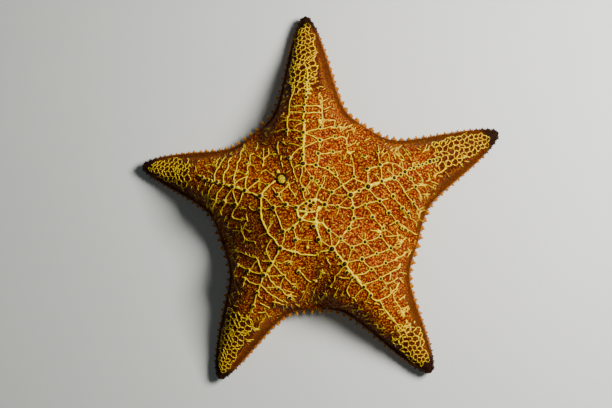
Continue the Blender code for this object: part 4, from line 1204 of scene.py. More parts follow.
def markings() -> bpy.types.NodeTree:
    """The markings that skin and granules share, with painted shade beside the ridges and on the
    walls, worked out from where a place is.

    Inputs are the distance to the nearest ridge in millimetres, shares of wall, tip, underside
    and mosaic, and a random tint.  Outputs are the colour and a height for bump.
    """
    tree = bpy.data.node_groups.new("markings", "ShaderNodeTree")
    for name in (*REGIONS, "tint"):
        tree.interface.new_socket(name, in_out="INPUT", socket_type="NodeSocketFloat")
    tree.interface.new_socket("colour", in_out="OUTPUT", socket_type="NodeSocketColor")
    tree.interface.new_socket("height", in_out="OUTPUT", socket_type="NodeSocketFloat")
    graph = Graph(tree)
    given = graph.node("NodeGroupInput").outputs
    place = graph.node("ShaderNodeTexCoord").outputs["Object"]
    broad = graph.span(graph.noise(place, 55.0, 3.0), 0.36, 0.64)
    worm = graph.noise(place, 950.0, 2.0)
    grain = graph.noise(place, 1500.0, 1.0)
    tinted = graph.math("MULTIPLY_ADD", given["tint"], 0.12, worm)
    colour = graph.mix(graph.span(tinted, 0.52, 0.4), PALETTE.cell, PALETTE.maroon)
    lit = graph.span(tinted, 0.545, 0.585)
    colour = graph.mix(graph.math("MULTIPLY", lit, 0.95), colour, PALETTE.fleck)
    colour = graph.mix(graph.math("MULTIPLY", broad, 0.22), colour, PALETTE.maroon)
    colour = graph.mix(graph.math("MULTIPLY", given["band"], 0.8), colour, PALETTE.hollow)
    # the skin just beside each ridge is darkened to maroon: painted shade at the ridges' feet
    beside = graph.span(given["ridge"], 1.2, 0.6)
    colour = graph.mix(graph.math("MULTIPLY", beside, 0.65), colour, PALETTE.maroon)
    near = graph.span(given["ridge"], 0.45, 0.28)
    rim = graph.math("MULTIPLY", near, graph.math("MULTIPLY_ADD", given["band"], -0.5, 0.8))
    colour = graph.mix(rim, colour, PALETTE.ridge_rim)
    flecks = graph.span(graph.math("ADD", grain, given["tint"]), 0.62, 0.8)
    # walls and the top's outer flanks take the walls' brown, which carries painted shade
    side = graph.mix(graph.math("MULTIPLY", flecks, 0.5), PALETTE.wall, PALETTE.wall_fleck)
    colour = graph.mix(given["wall"], colour, side)
    below = graph.mix(graph.span(worm, 0.48, 0.62), PALETTE.under, PALETTE.under_fleck)
    colour = graph.mix(given["under"], colour, below)
    colour = graph.mix(given["tip"], colour, PALETTE.tip)
    result = graph.node("NodeGroupOutput")
    graph.feed(result.inputs["colour"], colour)
    height = graph.math("ADD", worm, graph.math("MULTIPLY", grain, 0.6))
    graph.feed(result.inputs["height"], height)
    return tree


def blank_material(name: str) -> tuple[bpy.types.Material, Graph, bpy.types.Node]:
    """A material with its tree, and its one surface node."""
    material = bpy.data.materials.new(name)
    material.use_nodes = True
    graph = Graph(material.node_tree)
    return material, graph, material.node_tree.nodes["Principled BSDF"]


def add_bump(graph: Graph, surface: bpy.types.Node, height: object, depth: float) -> None:
    """Gives a surface a bump of a depth in metres."""
    bump = graph.node("ShaderNodeBump")
    graph.feed(bump.inputs["Distance"], depth)
    graph.feed(bump.inputs["Height"], height)
    graph.feed(surface.inputs["Normal"], bump.outputs["Normal"])


@dataclass(frozen=True)
class HideFinish:
    """The skin's or the granules' finish: the markings with their painted shade, rough and finely
    bumped.
    """

    name: str
    roughness: float
    depth: float

    def build(self, group: bpy.types.NodeTree) -> bpy.types.Material:
        """Makes the material."""
        material, graph, surface = blank_material(self.name)
        sources = {key: graph.attribute(key) for key in (*REGIONS, "tint")}
        marked = group_call(graph, group, **sources)
        graph.feed(surface.inputs["Base Color"], marked.outputs["colour"])
        rough = graph.math("MULTIPLY_ADD", marked.outputs["height"], 0.15, self.roughness - 0.12)
        graph.feed(surface.inputs["Roughness"], rough)
        surface.inputs["Specular IOR Level"].default_value = 0.06
        add_bump(graph, surface, marked.outputs["height"], self.depth)
        return material


@dataclass(frozen=True)
class HornFinish:
    """A hard piece's finish: one colour at the root and one at the top, clouded and bumped.

    The mesh carries rise, from 0 at the root to 1 at the top, and tip, the arm end's darkness.
    On the tubercles the lighter top is a painted highlight; on the sieve plate rise paints shade
    in the furrows' troughs, and tip paints a shadow round the plate's rim.
    """

    name: str
    low: tuple
    high: tuple
    dark: tuple = PALETTE.tip
    roughness: float = 0.5
    grain: float = 900.0
    depth: float = 0.12 * MM
    shine: float = 0.12
    turn: tuple[float, float] = (0.3, 0.8)

    def build(self) -> bpy.types.Material:
        """Makes the material."""
        material, graph, surface = blank_material(self.name)
        place = graph.node("ShaderNodeTexCoord").outputs["Object"]
        cloud = graph.noise(place, self.grain, 3.0)
        uneven = graph.math("MULTIPLY_ADD", cloud, 0.5, -0.25)
        rise = graph.math("ADD", graph.attribute("rise"), uneven)
        colour = graph.mix(graph.span(rise, *self.turn), self.low, self.high)
        blotch = graph.math("ADD", graph.attribute("pale"), graph.noise(place, 420.0, 2.0))
        colour = graph.mix(graph.span(blotch, 0.85, 1.15), colour, PALETTE.cream)
        shade = graph.math("MULTIPLY", graph.span(cloud, 0.58, 0.38), 0.35)
        colour = graph.mix(shade, colour, tuple(c * 0.45 for c in self.low[:3]) + (1.0,))
        # tip darkens the colour: the arm end's own darkness, and on the sieve plate a painted shadow
        # round its rim
        colour = graph.mix(graph.attribute("tip"), colour, self.dark)
        graph.feed(surface.inputs["Base Color"], colour)
        rough = graph.math("MULTIPLY_ADD", cloud, 0.2, self.roughness - 0.1)
        graph.feed(surface.inputs["Roughness"], rough)
        surface.inputs["Specular IOR Level"].default_value = self.shine
        add_bump(graph, surface, cloud, self.depth)
        return material


# the pieces
def dress(item: bpy.types.Object, material: bpy.types.Material) -> bpy.types.Object:
    """Gives a piece its finish and its body, and reports it."""
    item.data.materials.append(material)
    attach(item, BODY)
    triangles = sum(len(face.vertices) - 2 for face in item.data.polygons)
    LOG.info("%s: %d triangles", item.name, triangles)
    return item


@dataclass
class Patch:
    """A part of the skin as grids: places, normals, layout spots and values, by sector."""

    points: Array
    normals: Array
    spots: Array
    values: dict[str, Array]


@dataclass
class Skin:
    """The smooth skin: the upper side, the wall and the underside in one closed surface."""

    form: BodyForm
    net: Net
    tint: float = -0.15
    top_rows: tuple[int, int] = (30, 34)
    outer_rows: int = 92
    columns: int = 40
    wall_rows: int = 8
    under_rows: tuple[int, int] = (18, 14)
    under_columns: int = 15
    under_crowding: float = 1.5
    weld: float = 2e-6
    far: float = 6.0
    sink: float = 0.35 * MM
    sink_span: Span = (0.3, 1.6)
    flank_across: Span = (0.66, 0.86)
    flank_out: Span = (0.55, 0.7)
    edge_across: Span = (0.84, 0.96)
    edge_out: Span = (0.4, 0.48)
    mosaic_out: Span = (-3.0 * MM, 5.0 * MM)
    mosaic_across: Span = (0.62, 0.8)
    tip_out: Span = (0.915, 0.955)
    under_tip_out: Span = (0.95, 0.98)
    under_share: float = 0.8
    foot_span: Span = (0.0, 0.25)

    def rows(self, inner: int, middle: int) -> Array:
        """The shares u of the rows from the middle to the tip."""
        loop, notch = self.form.loop_share, self.form.notch_share
        parts = [
            np.linspace(0, loop, inner)[:-1],
            np.linspace(loop, notch, middle)[:-1],
            np.linspace(notch, 1, self.outer_rows),
        ]
        return np.concatenate(parts)

    def _grid(self, rows: Array, columns: Array) -> list[Array]:
        """Every sector with every row and every column."""
        return np.meshgrid(np.arange(self.form.sectors), rows, columns, indexing="ij")

    def _patch(
        self,
        sector: Array,
        plan: Array,
        faced: tuple[Array, Array],
        strip: float | Array,
        tip: Span,
        **given: Array | float,
    ) -> Patch:
        """A patch with the values that the markings read.

        Args:
            sector: sector numbers.
            plan: places with the arm straight along +x.
            faced: the points and their normals.
            strip: where on the layout's band they are, as unwrap takes it.
            tip: shares of the arm between which its end darkens.
            given: values by name, with 0 for those that are left out.

        Returns:
            The patch.
        """
        given["tip"] = smooth(*tip, self.form.outward(sector, plan))
        values = {key: np.broadcast_to(given.get(key, 0.0), sector.shape) for key in REGIONS}
        return Patch(*faced, self.form.unwrap(sector, plan, strip), values)

    def top(self) -> Patch:
        """The upper side, sunk a little between the ridges."""
        form = self.form
        sector, u, w = self._grid(self.rows(*self.top_rows), np.linspace(0, 1, self.columns))
        plan = form.plan(sector, u, w)
        points, normals = form.upper(sector, plan)
        ridge = np.minimum(self.net.distance(form.spread(sector, plan)) / MM, self.far)
        # the top's outer flanks and edge take the walls' colour, partly painted shade
        flank = smooth(*self.flank_across, w) * smooth(*self.flank_out, u)
        edge = smooth(*self.edge_across, w) * smooth(*self.edge_out, u)
        past = plan[..., 0] - np.array(self.net.mosaic_starts)[sector // 2]
        band = smooth(*self.mosaic_out, past) * (1 - smooth(*self.mosaic_across, w))
        sunk = smooth(*self.sink_span, ridge) * self.sink * (1 - smooth(0.9, 1, w))
        hold = smooth(0.0, 0.04, u) * (1 - smooth(0.97, 1.0, u))
        points = points - normals * (sunk * hold)[..., None]
        given = {"ridge": ridge, "wall": np.maximum(flank, edge), "band": band}
        return self._patch(sector, plan, (points, normals), 0.0, self.tip_out, **given)

    def wall(self) -> Patch:
        """The wall all round, under the margin."""
        levels = np.linspace(1, 0, self.wall_rows)
        sector, share, level = self._grid(np.linspace(0, 1, self.outer_rows), levels)
        faced = self.form.side_wall(sector, share, level)
        plan = self.form.margin(sector, share)
        under = self.under_share * (1 - smooth(*self.foot_span, level))
        given = {"ridge": self.far, "wall": 1.0, "under": under}
        strip = np.clip(1 - level, 0.01, 0.99)
        return self._patch(sector, plan, faced, strip, self.tip_out, **given)

    def bottom(self) -> Patch:
        """The underside."""
        across = np.linspace(0, 1, self.under_columns) ** self.under_crowding
        sector, u, w = self._grid(self.rows(*self.under_rows), across)
        plan = self.form.plan(sector, u, w, self.form.base_inset)
        points = self.form.lower(sector, plan)
        normals = np.broadcast_to(np.array((0.0, 0.0, -1.0)), points.shape)
        under = 1 - (1 - self.under_share) * smooth(0.95, 1.0, w)
        given = {"ridge": self.far, "under": under}
        return self._patch(sector, plan, (points, normals), 1.0, self.under_tip_out, **given)

    def build(self, material: bpy.types.Material) -> list[Patch]:
        """Makes the skin and returns its three parts' grids."""
        sheets = Sheets()
        patches = [self.top(), self.wall(), self.bottom()]
        for patch in patches:
            _, rows, columns, _ = patch.points.shape
            faces = repeated(grid_faces(rows, columns), self.form.sectors, rows * columns)
            sheets.add(patch.points, faces, patch.spots, tint=self.tint, **patch.values)
        item = sheets.make("skin", self.weld)
        count = self.form.sectors // 2 + 1
        arms = [f"{kind}_{k}" for k in range(1, count) for kind in ("arm", "arm_tip")]
        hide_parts("disc", *arms)
        dress(item, material)
        return patches


@dataclass
class Ridges:
    """The net as raised strips: each ridge is a low roof along its line."""

    form: BodyForm
    net: Net
    across: tuple[float, ...] = (-1.0, -0.62, 0.0, 0.62, 1.0)
    profile: tuple[float, ...] = (-0.3, 0.66, 1.0, 0.66, -0.3)
    width_waves: Span = (0.5, 1.6)
    height_waves: Span = (0.15, 3.5)
    gap_waves: Span = (0.5, 4.0)
    flare: Span = (0.35, 1.2)
    end_width: float = 0.03
    edge_span: Span = (-1.0 * MM, 6.0 * MM)
    edge_width: float = 0.55
    edge_height: float = 0.6
    gap_share: Span = (0.45, 1.2)
    gap_depth: float = 0.4 * MM
    tip_out: Span = (0.94, 0.975)

    def build(self, name: str, lines: list[Line], material: bpy.types.Material) -> None:
        """Makes one piece of many lines.

        Each line's section is moved along it, a little wider at its ends and drawn to a point
        there, with uneven width.  Near the body's edge the lines are thinner and broken up.

        Args:
            name: the piece's name.
            lines: the ridges.
            material: their finish.
        """
        form = self.form
        dice = np.random.default_rng(41)
        side, wide, high, gaps, faces = [], [], [], [], []
        count, points = 0, len(self.across)
        for line in lines:
            size = len(line.star)
            ahead = unit(np.gradient(line.star, axis=0))
            side.append(np.stack([-ahead[:, 1], ahead[:, 0]], axis=-1))
            end = np.minimum(np.arange(size), np.arange(size)[::-1])
            close = np.where(end == 0, self.end_width, 1.0)
            flare = 1 + self.flare[0] * np.exp(-end / self.flare[1])
            waves = (self.width_waves, self.height_waves, self.gap_waves)
            width, height, gap = (share * wavy(size, step, dice) for share, step in waves)
            wide.append(line.pen.width * (1 + width) * flare * close / 2)
            high.append(line.pen.height * (1 + height) * close)
            gaps.append(0.5 + gap)
            faces.append(grid_faces(size, points, True) + count)
            count += size * points
        across, profile = np.array(self.across), np.array(self.profile)
        place = np.concatenate([line.star for line in lines])
        sectors, plan = form.gather(place)
        outer = smooth(0.55, 0.75, form.outward(sectors, plan))
        room = form.edge_distance(sectors, plan) / (1 - 0.5 * outer)
        inside = smooth(*self.edge_span, room)
        wide = np.concatenate(wide) * (self.edge_width + (1 - self.edge_width) * inside)
        high = np.concatenate(high) * (self.edge_height + (1 - self.edge_height) * inside)
        least, most = self.gap_share
        broken = np.concatenate(gaps) > least + (most - least) * inside
        high = np.where(broken, -self.gap_depth, high)[:, None]
        aside = wide[:, None, None] * across[None, :, None]
        place = place[:, None, :] + np.concatenate(side)[:, None, :] * aside
        sectors, plan = form.gather(place)
        world, _ = form.upper(sectors, plan, high * np.where(high > 0, profile, 1.0))
        rho = form.outward(sectors, plan)
        pale = np.concatenate([np.full(len(line.star), line.pen.pale) for line in lines])
        values = {
            "rise": np.clip(profile, 0, 1)[None, :] * (0.75 + 0.25 * inside[:, None]),
            "pale": pale[:, None] * (0.4 + 0.6 * (1 - smooth(0.05, 0.5, rho))),
            "tip": smooth(*self.tip_out, rho),
        }
        sheets = Sheets()
        sheets.add(world, np.concatenate(faces), form.unwrap(sectors, plan), **values)
        dress(sheets.make(name), material)


@dataclass
class Knobs:
    """The dark tubercles of the net, each in a pale collar."""

    form: BodyForm
    net: Net
    radius: float = 1.2 * MM
    height: float = 1.3 * MM
    lift: float = 0.35 * MM
    uneven: Span = (0.85, 1.12)
    squash: Span = (0.88, 1.0)
    collar_share: float = 1.45
    collar_height: float = 0.85 * MM
    dome: Turned = Turned((0.9, 1.0, 0.72), (0.0, 0.45, 0.88), (-0.6, 1.0), 10)
    collar: Turned = Turned((1.0, 0.98, 0.74), (0.0, 0.35, 0.75), (-0.6, 0.85), 12)

    def build(self, dark: bpy.types.Material, pale: bpy.types.Material) -> None:
        """Makes the knobs and the collars."""
        dice = np.random.default_rng(7)
        star = np.array([place for place, _ in self.net.knobs])
        count = len(star)
        size = np.array([size for _, size in self.net.knobs]) * dice.uniform(*self.uneven, count)
        roots, normals, spots = self.form.over(star, self.lift)
        axes = frames(normals, dice.uniform(*ANY_TURN, count))
        none = np.zeros(count)
        wide = size * self.radius
        deep = wide * dice.uniform(*self.squash, count)
        sizes = np.stack([wide, deep, size * self.height], axis=-1)
        knobs, collars = Sheets(), Sheets()
        scatter(knobs, self.dome, roots, axes, sizes, spots, tip=none)
        ring = np.stack([wide, wide * 0.96, self.collar_height * size**0.5], axis=-1)
        ring[:, :2] *= self.collar_share
        scatter(collars, self.collar, roots, axes, ring, spots, tip=none)
        dress(knobs.make("tubercles"), dark)
        dress(collars.make("tubercle_collars"), pale)


@dataclass
class Granules:
    """Grains strewn evenly over a part of the skin, one at most to each of its grid's faces."""

    area: float
    radius: tuple[float, float]
    height: float
    uneven: Span = (0.7, 1.3)
    clear: float = 0.55
    tint: float = 0.45
    grain: Turned = Turned((1.0,), (0.0,), (-0.7, 1.0), 4)

    def build(
        self, name: str, patch: Patch, material: bpy.types.Material, seed: int, halves: int = 1
    ) -> None:
        """Strews the grains.

        A face of the grid gets a grain with the chance of its area over the area for one grain,
        at a random place inside it.

        Args:
            name: the pieces' name.
            patch: the part of the skin.
            material: the finish.
            seed: for the random values.
            halves: how many pieces the grains are split into.
        """
        dice = np.random.default_rng(seed)
        points = patch.points
        first = points[:, 1:, :-1] - points[:, :-1, :-1]
        second = points[:, :-1, 1:] - points[:, :-1, :-1]
        area = np.linalg.norm(np.cross(first, second), axis=-1)
        keep = dice.random(area.shape) < area / self.area
        keep &= patch.values["ridge"][:, :-1, :-1] > self.clear
        s, i, j = np.nonzero(keep)
        a, b = dice.uniform(0.1, 0.9, (2, len(s)))

        def between(grid: Array) -> Array:
            """The grid's values at the grains, blended from each face's four corners."""
            low = (1 - a[:, None]) * grid[s, i, j] + a[:, None] * grid[s, i + 1, j]
            high = (1 - a[:, None]) * grid[s, i, j + 1] + a[:, None] * grid[s, i + 1, j + 1]
            return (1 - b[:, None]) * low + b[:, None] * high

        roots, normals = between(points), unit(between(patch.normals))
        wide = dice.uniform(*self.radius, len(s))
        sizes = np.stack([wide, wide, self.height * dice.uniform(*self.uneven, len(s))], axis=-1)
        axes = frames(normals, dice.uniform(*ANY_TURN, len(s)))
        values = {key: between(value[..., None])[:, 0] for key, value in patch.values.items()}
        values["tint"] = dice.normal(0, self.tint, len(s))
        spots = between(patch.spots)
        for half in range(halves):
            pick = slice(half, None, halves)
            sheets = Sheets()
            chosen = {key: value[pick] for key, value in values.items()}
            scatter(sheets, self.grain, roots[pick], axes[pick], sizes[pick], spots[pick], **chosen)
            label = name if halves == 1 else f"{name}_{half + 1}"
            dress(sheets.make(label), material)


@dataclass
class Margin:
    """Two rows of plates round the wall, each with a spine and small ones beside it."""

    form: BodyForm
    plates: int = 19
    shrink: float = 0.028
    last: float = 0.985
    levels: Span = (0.74, 0.26)
    reach: float = 0.23
    gaps: Span = (0.93, 0.95)
    grid: tuple[int, int] = (9, 8)
    squareness: Span = (3.5, 0.6)
    thick: float = 0.75 * MM
    sunk: float = 0.25 * MM
    tip_out: Span = (0.86, 0.95)
    spine_tip_out: Span = (0.8, 0.93)
    spine: Turned = Turned((1.0, 1.02, 0.8, 0.45), (0.0, 0.25, 0.6, 0.88), (-0.3, 1.0), 8)
    spine_steps: tuple = ((0, 0.0, 1.0), (-1, 0.1, 0.45), (1, 0.1, 0.5))
    spine_step: float = 0.35
    spine_length: Span = (2.9 * MM, 2.4 * MM)
    spine_width: float = 1.12 * MM
    spine_root: Span = (-0.04, 0.06)
    spine_lean: Span = (0.3, -0.05)
    spine_taper: float = 0.6

    def centres(self) -> tuple[Array, Array]:
        """Shares of the plates' middles along the margin, and half of their lengths."""
        size = (1 - self.shrink) ** np.arange(self.plates)
        ends = np.concatenate([[0], np.cumsum(size)]) / size.sum() * self.last
        return (ends[1:] + ends[:-1]) / 2, (ends[1:] - ends[:-1]) / 2

    def build(self, plate: bpy.types.Material, horn: bpy.types.Material) -> None:
        """Makes the plates and the spines.

        A plate is a patch of the wall that is swollen to a rounded square: its height is a power
        of how far a place is from the patch's edges.

        Args:
            plate: the plates' finish.
            horn: the spines' finish.
        """
        form = self.form
        dice = np.random.default_rng(19)
        middle, half = self.centres()
        a, b = (np.linspace(-1, 1, count) for count in self.grid)
        sector, number, a, b = np.meshgrid(
            np.arange(form.sectors), np.arange(self.plates), a, b, indexing="ij"
        )
        power, round_off = self.squareness
        swell = ((1 - np.abs(a) ** power) * (1 - np.abs(b) ** power)) ** round_off
        share = middle[number] + half[number] * a * self.gaps[0]
        plan = form.margin(sector, share)
        out = -self.sunk + (self.thick + self.sunk) * swell
        tip = smooth(*self.tip_out, form.outward(sector, plan))
        faces = repeated(grid_faces(*self.grid), form.sectors * self.plates, math.prod(self.grid))
        sheets, spines = Sheets(), Sheets()
        for row, level in enumerate(self.levels):
            up = level + self.reach * b * self.gaps[1]
            points, _ = form.side_wall(sector, share, up, out)
            sheets.add(points, faces, form.unwrap(sector, plan, 1 - up), rise=swell, tip=tip)
            self._add_spines(spines, row, middle, dice)
        dress(sheets.make("margin_plates"), plate)
        dress(spines.make("margin_spines"), horn)

    def _add_spines(
        self, spines: Sheets, row: int, middle: Array, dice: np.random.Generator
    ) -> None:
        """A large spine on each plate of a row, and two small ones."""
        form = self.form
        for shift, drop, size in self.spine_steps:
            sector = np.repeat(np.arange(form.sectors), self.plates)
            count = len(sector)
            share = np.tile(middle, form.sectors) + shift * self.spine_step / self.plates
            share = np.clip(share + dice.normal(0, 0.002, count), 0.004, 0.995)
            up = self.levels[row] + self.spine_root[row] - drop + dice.normal(0, 0.02, count)
            roots, normals = form.side_wall(sector, share, up, 0.3 * MM)
            plan = form.margin(sector, share)
            lean = dice.normal(0, 0.13, (count, 3))
            lean[:, 2] += self.spine_lean[row]
            axes = frames(unit(normals + lean), dice.uniform(*ANY_TURN, count))
            taper = size * (1 - self.spine_taper * share)
            tall = self.spine_length[row] * taper * dice.uniform(0.8, 1.15, count)
            wide = self.spine_width * (taper + 0.05 * taper / size) * dice.uniform(0.9, 1.1, count)
            sizes = np.stack([wide, wide * 0.85, tall], axis=-1)
            spots = form.unwrap(sector, plan, 1 - up)
            dark = smooth(*self.spine_tip_out, form.outward(sector, plan))
            scatter(spines, self.spine, roots, axes, sizes, spots, tip=dark)


@dataclass
class Sieve:
    """The sieve plate: a low oval dome with winding furrows whose troughs are painted darker as shade,
    in a dark rim of painted shadow.
    """

    form: BodyForm
    rise: float = 1.1 * MM
    half: tuple[float, float] = (3.9 * MM, 3.5 * MM)
    edge: float = 0.7
    fullness: float = 2.6
    shift: float = 0.5 * MM
    rings: int = 30
    spokes: int = 96

    def build(self, material: bpy.types.Material) -> None:
        """Makes the plate over its node, its middle read from that node's box."""
        low, high = (np.array(corner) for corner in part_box("madreporite"))
        middle = (low + high)[:2] / 2 - self.form.centre
        away = unit(middle)
        turns = 2 * np.pi * np.arange(self.spokes) / self.spokes
        share, angle = np.meshgrid(np.linspace(0, 1, self.rings), turns, indexing="ij")
        x = share * np.cos(angle) * self.half[0] + self.shift * smooth(self.edge, 1.0, share)
        y = share * np.sin(angle) * self.half[1]
        star = middle + x[..., None] * away + y[..., None] * np.array((-away[1], away[0]))
        wind = np.sin(angle * 11 + 2.2 * np.sin(share * 9.0 + 2 * np.sin(angle * 3)))
        inside = 1 - smooth(self.edge - 0.06, self.edge, share)
        furrow = 0.13 * MM * wind * smooth(0.12, 0.3, share) * inside
        dome = self.rise * np.sqrt(np.maximum(1 - (share / self.edge) ** self.fullness, 0))
        out = dome + furrow + 0.35 * MM - 0.9 * MM * smooth(0.93, 1.0, share)
        sectors, plan = self.form.gather(star)
        points, _ = self.form.upper(sectors, plan, out)
        # yellow on the furrows' crests and brown in their troughs as painted shade; tip paints the rim
        # dark as painted shadow
        yellow_and_furrow_shade = np.clip(0.62 + 0.4 * wind, 0, 1) * inside
        sheets = Sheets()
        sheets.add(
            points,
            grid_faces(self.rings, self.spokes, True),
            self.form.unwrap(sectors, plan),
            rise=yellow_and_furrow_shade,
            tip=1 - inside,
        )
        item = sheets.make("madreporite_plate", 1e-6)
        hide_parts("madreporite")
        dress(item, material)


@dataclass
class Vent:
    """The vent on the top: a ring of small valves round a dark point, which is painted shade standing
    in for the opening.
    """

    form: BodyForm
    place: Array
    rings: tuple = ((11, 1.9 * MM), (15, 2.75 * MM), (19, 3.6 * MM))
    valve: Turned = Turned((1.0, 1.0, 0.6), (0.0, 0.5, 0.9), (-0.5, 1.0), 6)

    def build(self, pale: bpy.types.Material, dark: bpy.types.Material) -> None:
        """Makes the rings of valves and the point between them."""
        dice = np.random.default_rng(3)
        angle = np.concatenate([np.arange(count) / count + 0.3 * count for count, _ in self.rings])
        angle = angle * 2 * np.pi
        ring = np.concatenate([np.full(count, radius) for count, radius in self.rings])
        total = len(ring)
        ring = ring * dice.uniform(0.92, 1.1, total)
        star = self.place + np.stack([np.cos(angle), np.sin(angle)], axis=-1) * ring[:, None]
        sectors, plan = self.form.gather(star)
        roots, normals = self.form.upper(sectors, plan, 0.1 * MM)
        inward = np.stack([-np.cos(angle), -np.sin(angle), np.zeros(total)], axis=-1)
        axes = frames(unit(normals + inward * 0.5))
        wide, tall = dice.uniform(0.4, 0.55, total), dice.uniform(0.8, 1.2, total)
        sizes = np.stack([np.full(total, 0.42), wide, tall], axis=-1)
        sheets = Sheets()
        spots = self.form.unwrap(sectors, plan)
        scatter(sheets, self.valve, roots, axes, sizes * MM, spots, tip=np.zeros(total))
        dress(sheets.make("vent_valves"), pale)
        # the point: a dark dome put in the opening as painted shade
        sectors, plan = self.form.gather(self.place[None])
        roots, normals = self.form.upper(sectors, plan)
        point = Sheets()
        size = np.array([(1.3, 1.15, 0.8)]) * MM
        spots = self.form.unwrap(sectors, plan)
        scatter(point, self.valve, roots, frames(normals), size, spots, tip=np.zeros(1))
        dress(point.make("vent_point"), dark)


@dataclass
class Furrows:
    """Under each arm: combs of spines beside the groove, and two rows of tube feet in it."""

    form: BodyForm
    start: float = 13.0 * MM
    end_gap: float = 8.0 * MM
    pitch: float = 1.9 * MM
    foot_pitch: float = 2.1 * MM
    comb: Turned = Turned((1.0, 0.9, 0.7), (0.0, 0.4, 0.85), (-0.2, 1.0), 6)
    foot: Turned = Turned((0.75, 0.6, 0.7, 1.0, 0.8), (0.0, 0.5, 0.8, 0.92, 0.99), (-0.1, 0.96), 8)

    def build(self, horn: bpy.types.Material, flesh: bpy.types.Material) -> None:
        """Makes the combs and the feet."""
        dice = np.random.default_rng(23)
        combs, feet = Sheets(), Sheets()
        for sector in range(self.form.sectors):
            end = self.form.length[sector] - self.end_gap
            x = np.arange(self.start, end, self.pitch)
            for shift, aside, lean, size in (
                (-0.3, -0.1, 1.5, (0.27, 2.1)),
                (0.0, 0.0, 1.5, (0.3, 2.4)),
                (0.3, -0.1, 1.5, (0.27, 2.1)),
                (0.0, 1.15, 0.15, (0.62, 1.25)),
                (0.5, 2.3, -0.1, (0.5, 1.0)),
            ):
                self._row(combs, sector, x + shift * self.pitch, aside * MM, lean, size, dice)
            x = np.arange(self.start, end - 2 * MM, self.foot_pitch)
            half, deep = self.form.groove(np.full(len(x), sector), x)
            plan = np.stack([x, half * 0.45], axis=-1)
            sectors = np.full(len(x), sector)
            roots = self.form.lower(sectors, plan, -0.1 * MM)
            away = np.stack([dice.normal(0, 0.12, len(x)), dice.normal(0.1, 0.1, len(x))], axis=-1)
            away = np.concatenate([away, -np.ones((len(x), 1))], axis=-1)
            axes = frames(unit(self.form.turned(sectors, plan, away)))
            wide = 0.85 * MM * (half / half[0]) ** 0.6
            sizes = np.stack([wide, wide, deep * dice.uniform(0.7, 0.95, len(x))], axis=-1)
            spots = self.form.unwrap(sectors, plan, 1.0)
            scatter(feet, self.foot, roots, axes, sizes, spots, tip=np.zeros(len(x)))
        dress(combs.make("furrow_spines"), horn)
        dress(feet.make("tube_feet"), flesh)

    def _row(
        self,
        sheets: Sheets,
        sector: int,
        x: Array,
        aside: float,
        lean: float,
        size: tuple[float, float],
        dice: np.random.Generator,
    ) -> None:
        """A row of spines along one side of a groove, leaning over it."""
        form = self.form
        count = len(x)
        sectors = np.full(count, sector)
        half, _ = form.groove(sectors, x)
        taper = 0.45 + 0.55 * (half / half[0])
        plan = np.stack([x, half + aside * taper + 0.25 * MM], axis=-1)
        roots = form.lower(sectors, plan, -0.1 * MM)
        away = np.stack([dice.normal(0, 0.12, count), -lean * np.ones(count)], axis=-1)
        away = np.concatenate([away, -np.ones((count, 1))], axis=-1)
        axes = frames(unit(form.turned(sectors, plan, away)))
        wide, tall = np.array(size) * MM
        drop = (form.base + form.raised(sectors, x) - 0.05 * MM) / np.abs(axes[:, 2, 2])
        tall = np.minimum(tall * taper, drop) * dice.uniform(0.88, 1.0, count)
        sizes = np.stack([wide * taper, wide * taper, tall], axis=-1)
        dark = smooth(0.93, 0.98, x / form.length[sector])
        spots = form.unwrap(sectors, plan, 1.0)
        scatter(sheets, self.comb, roots, axes, sizes, spots, tip=dark)


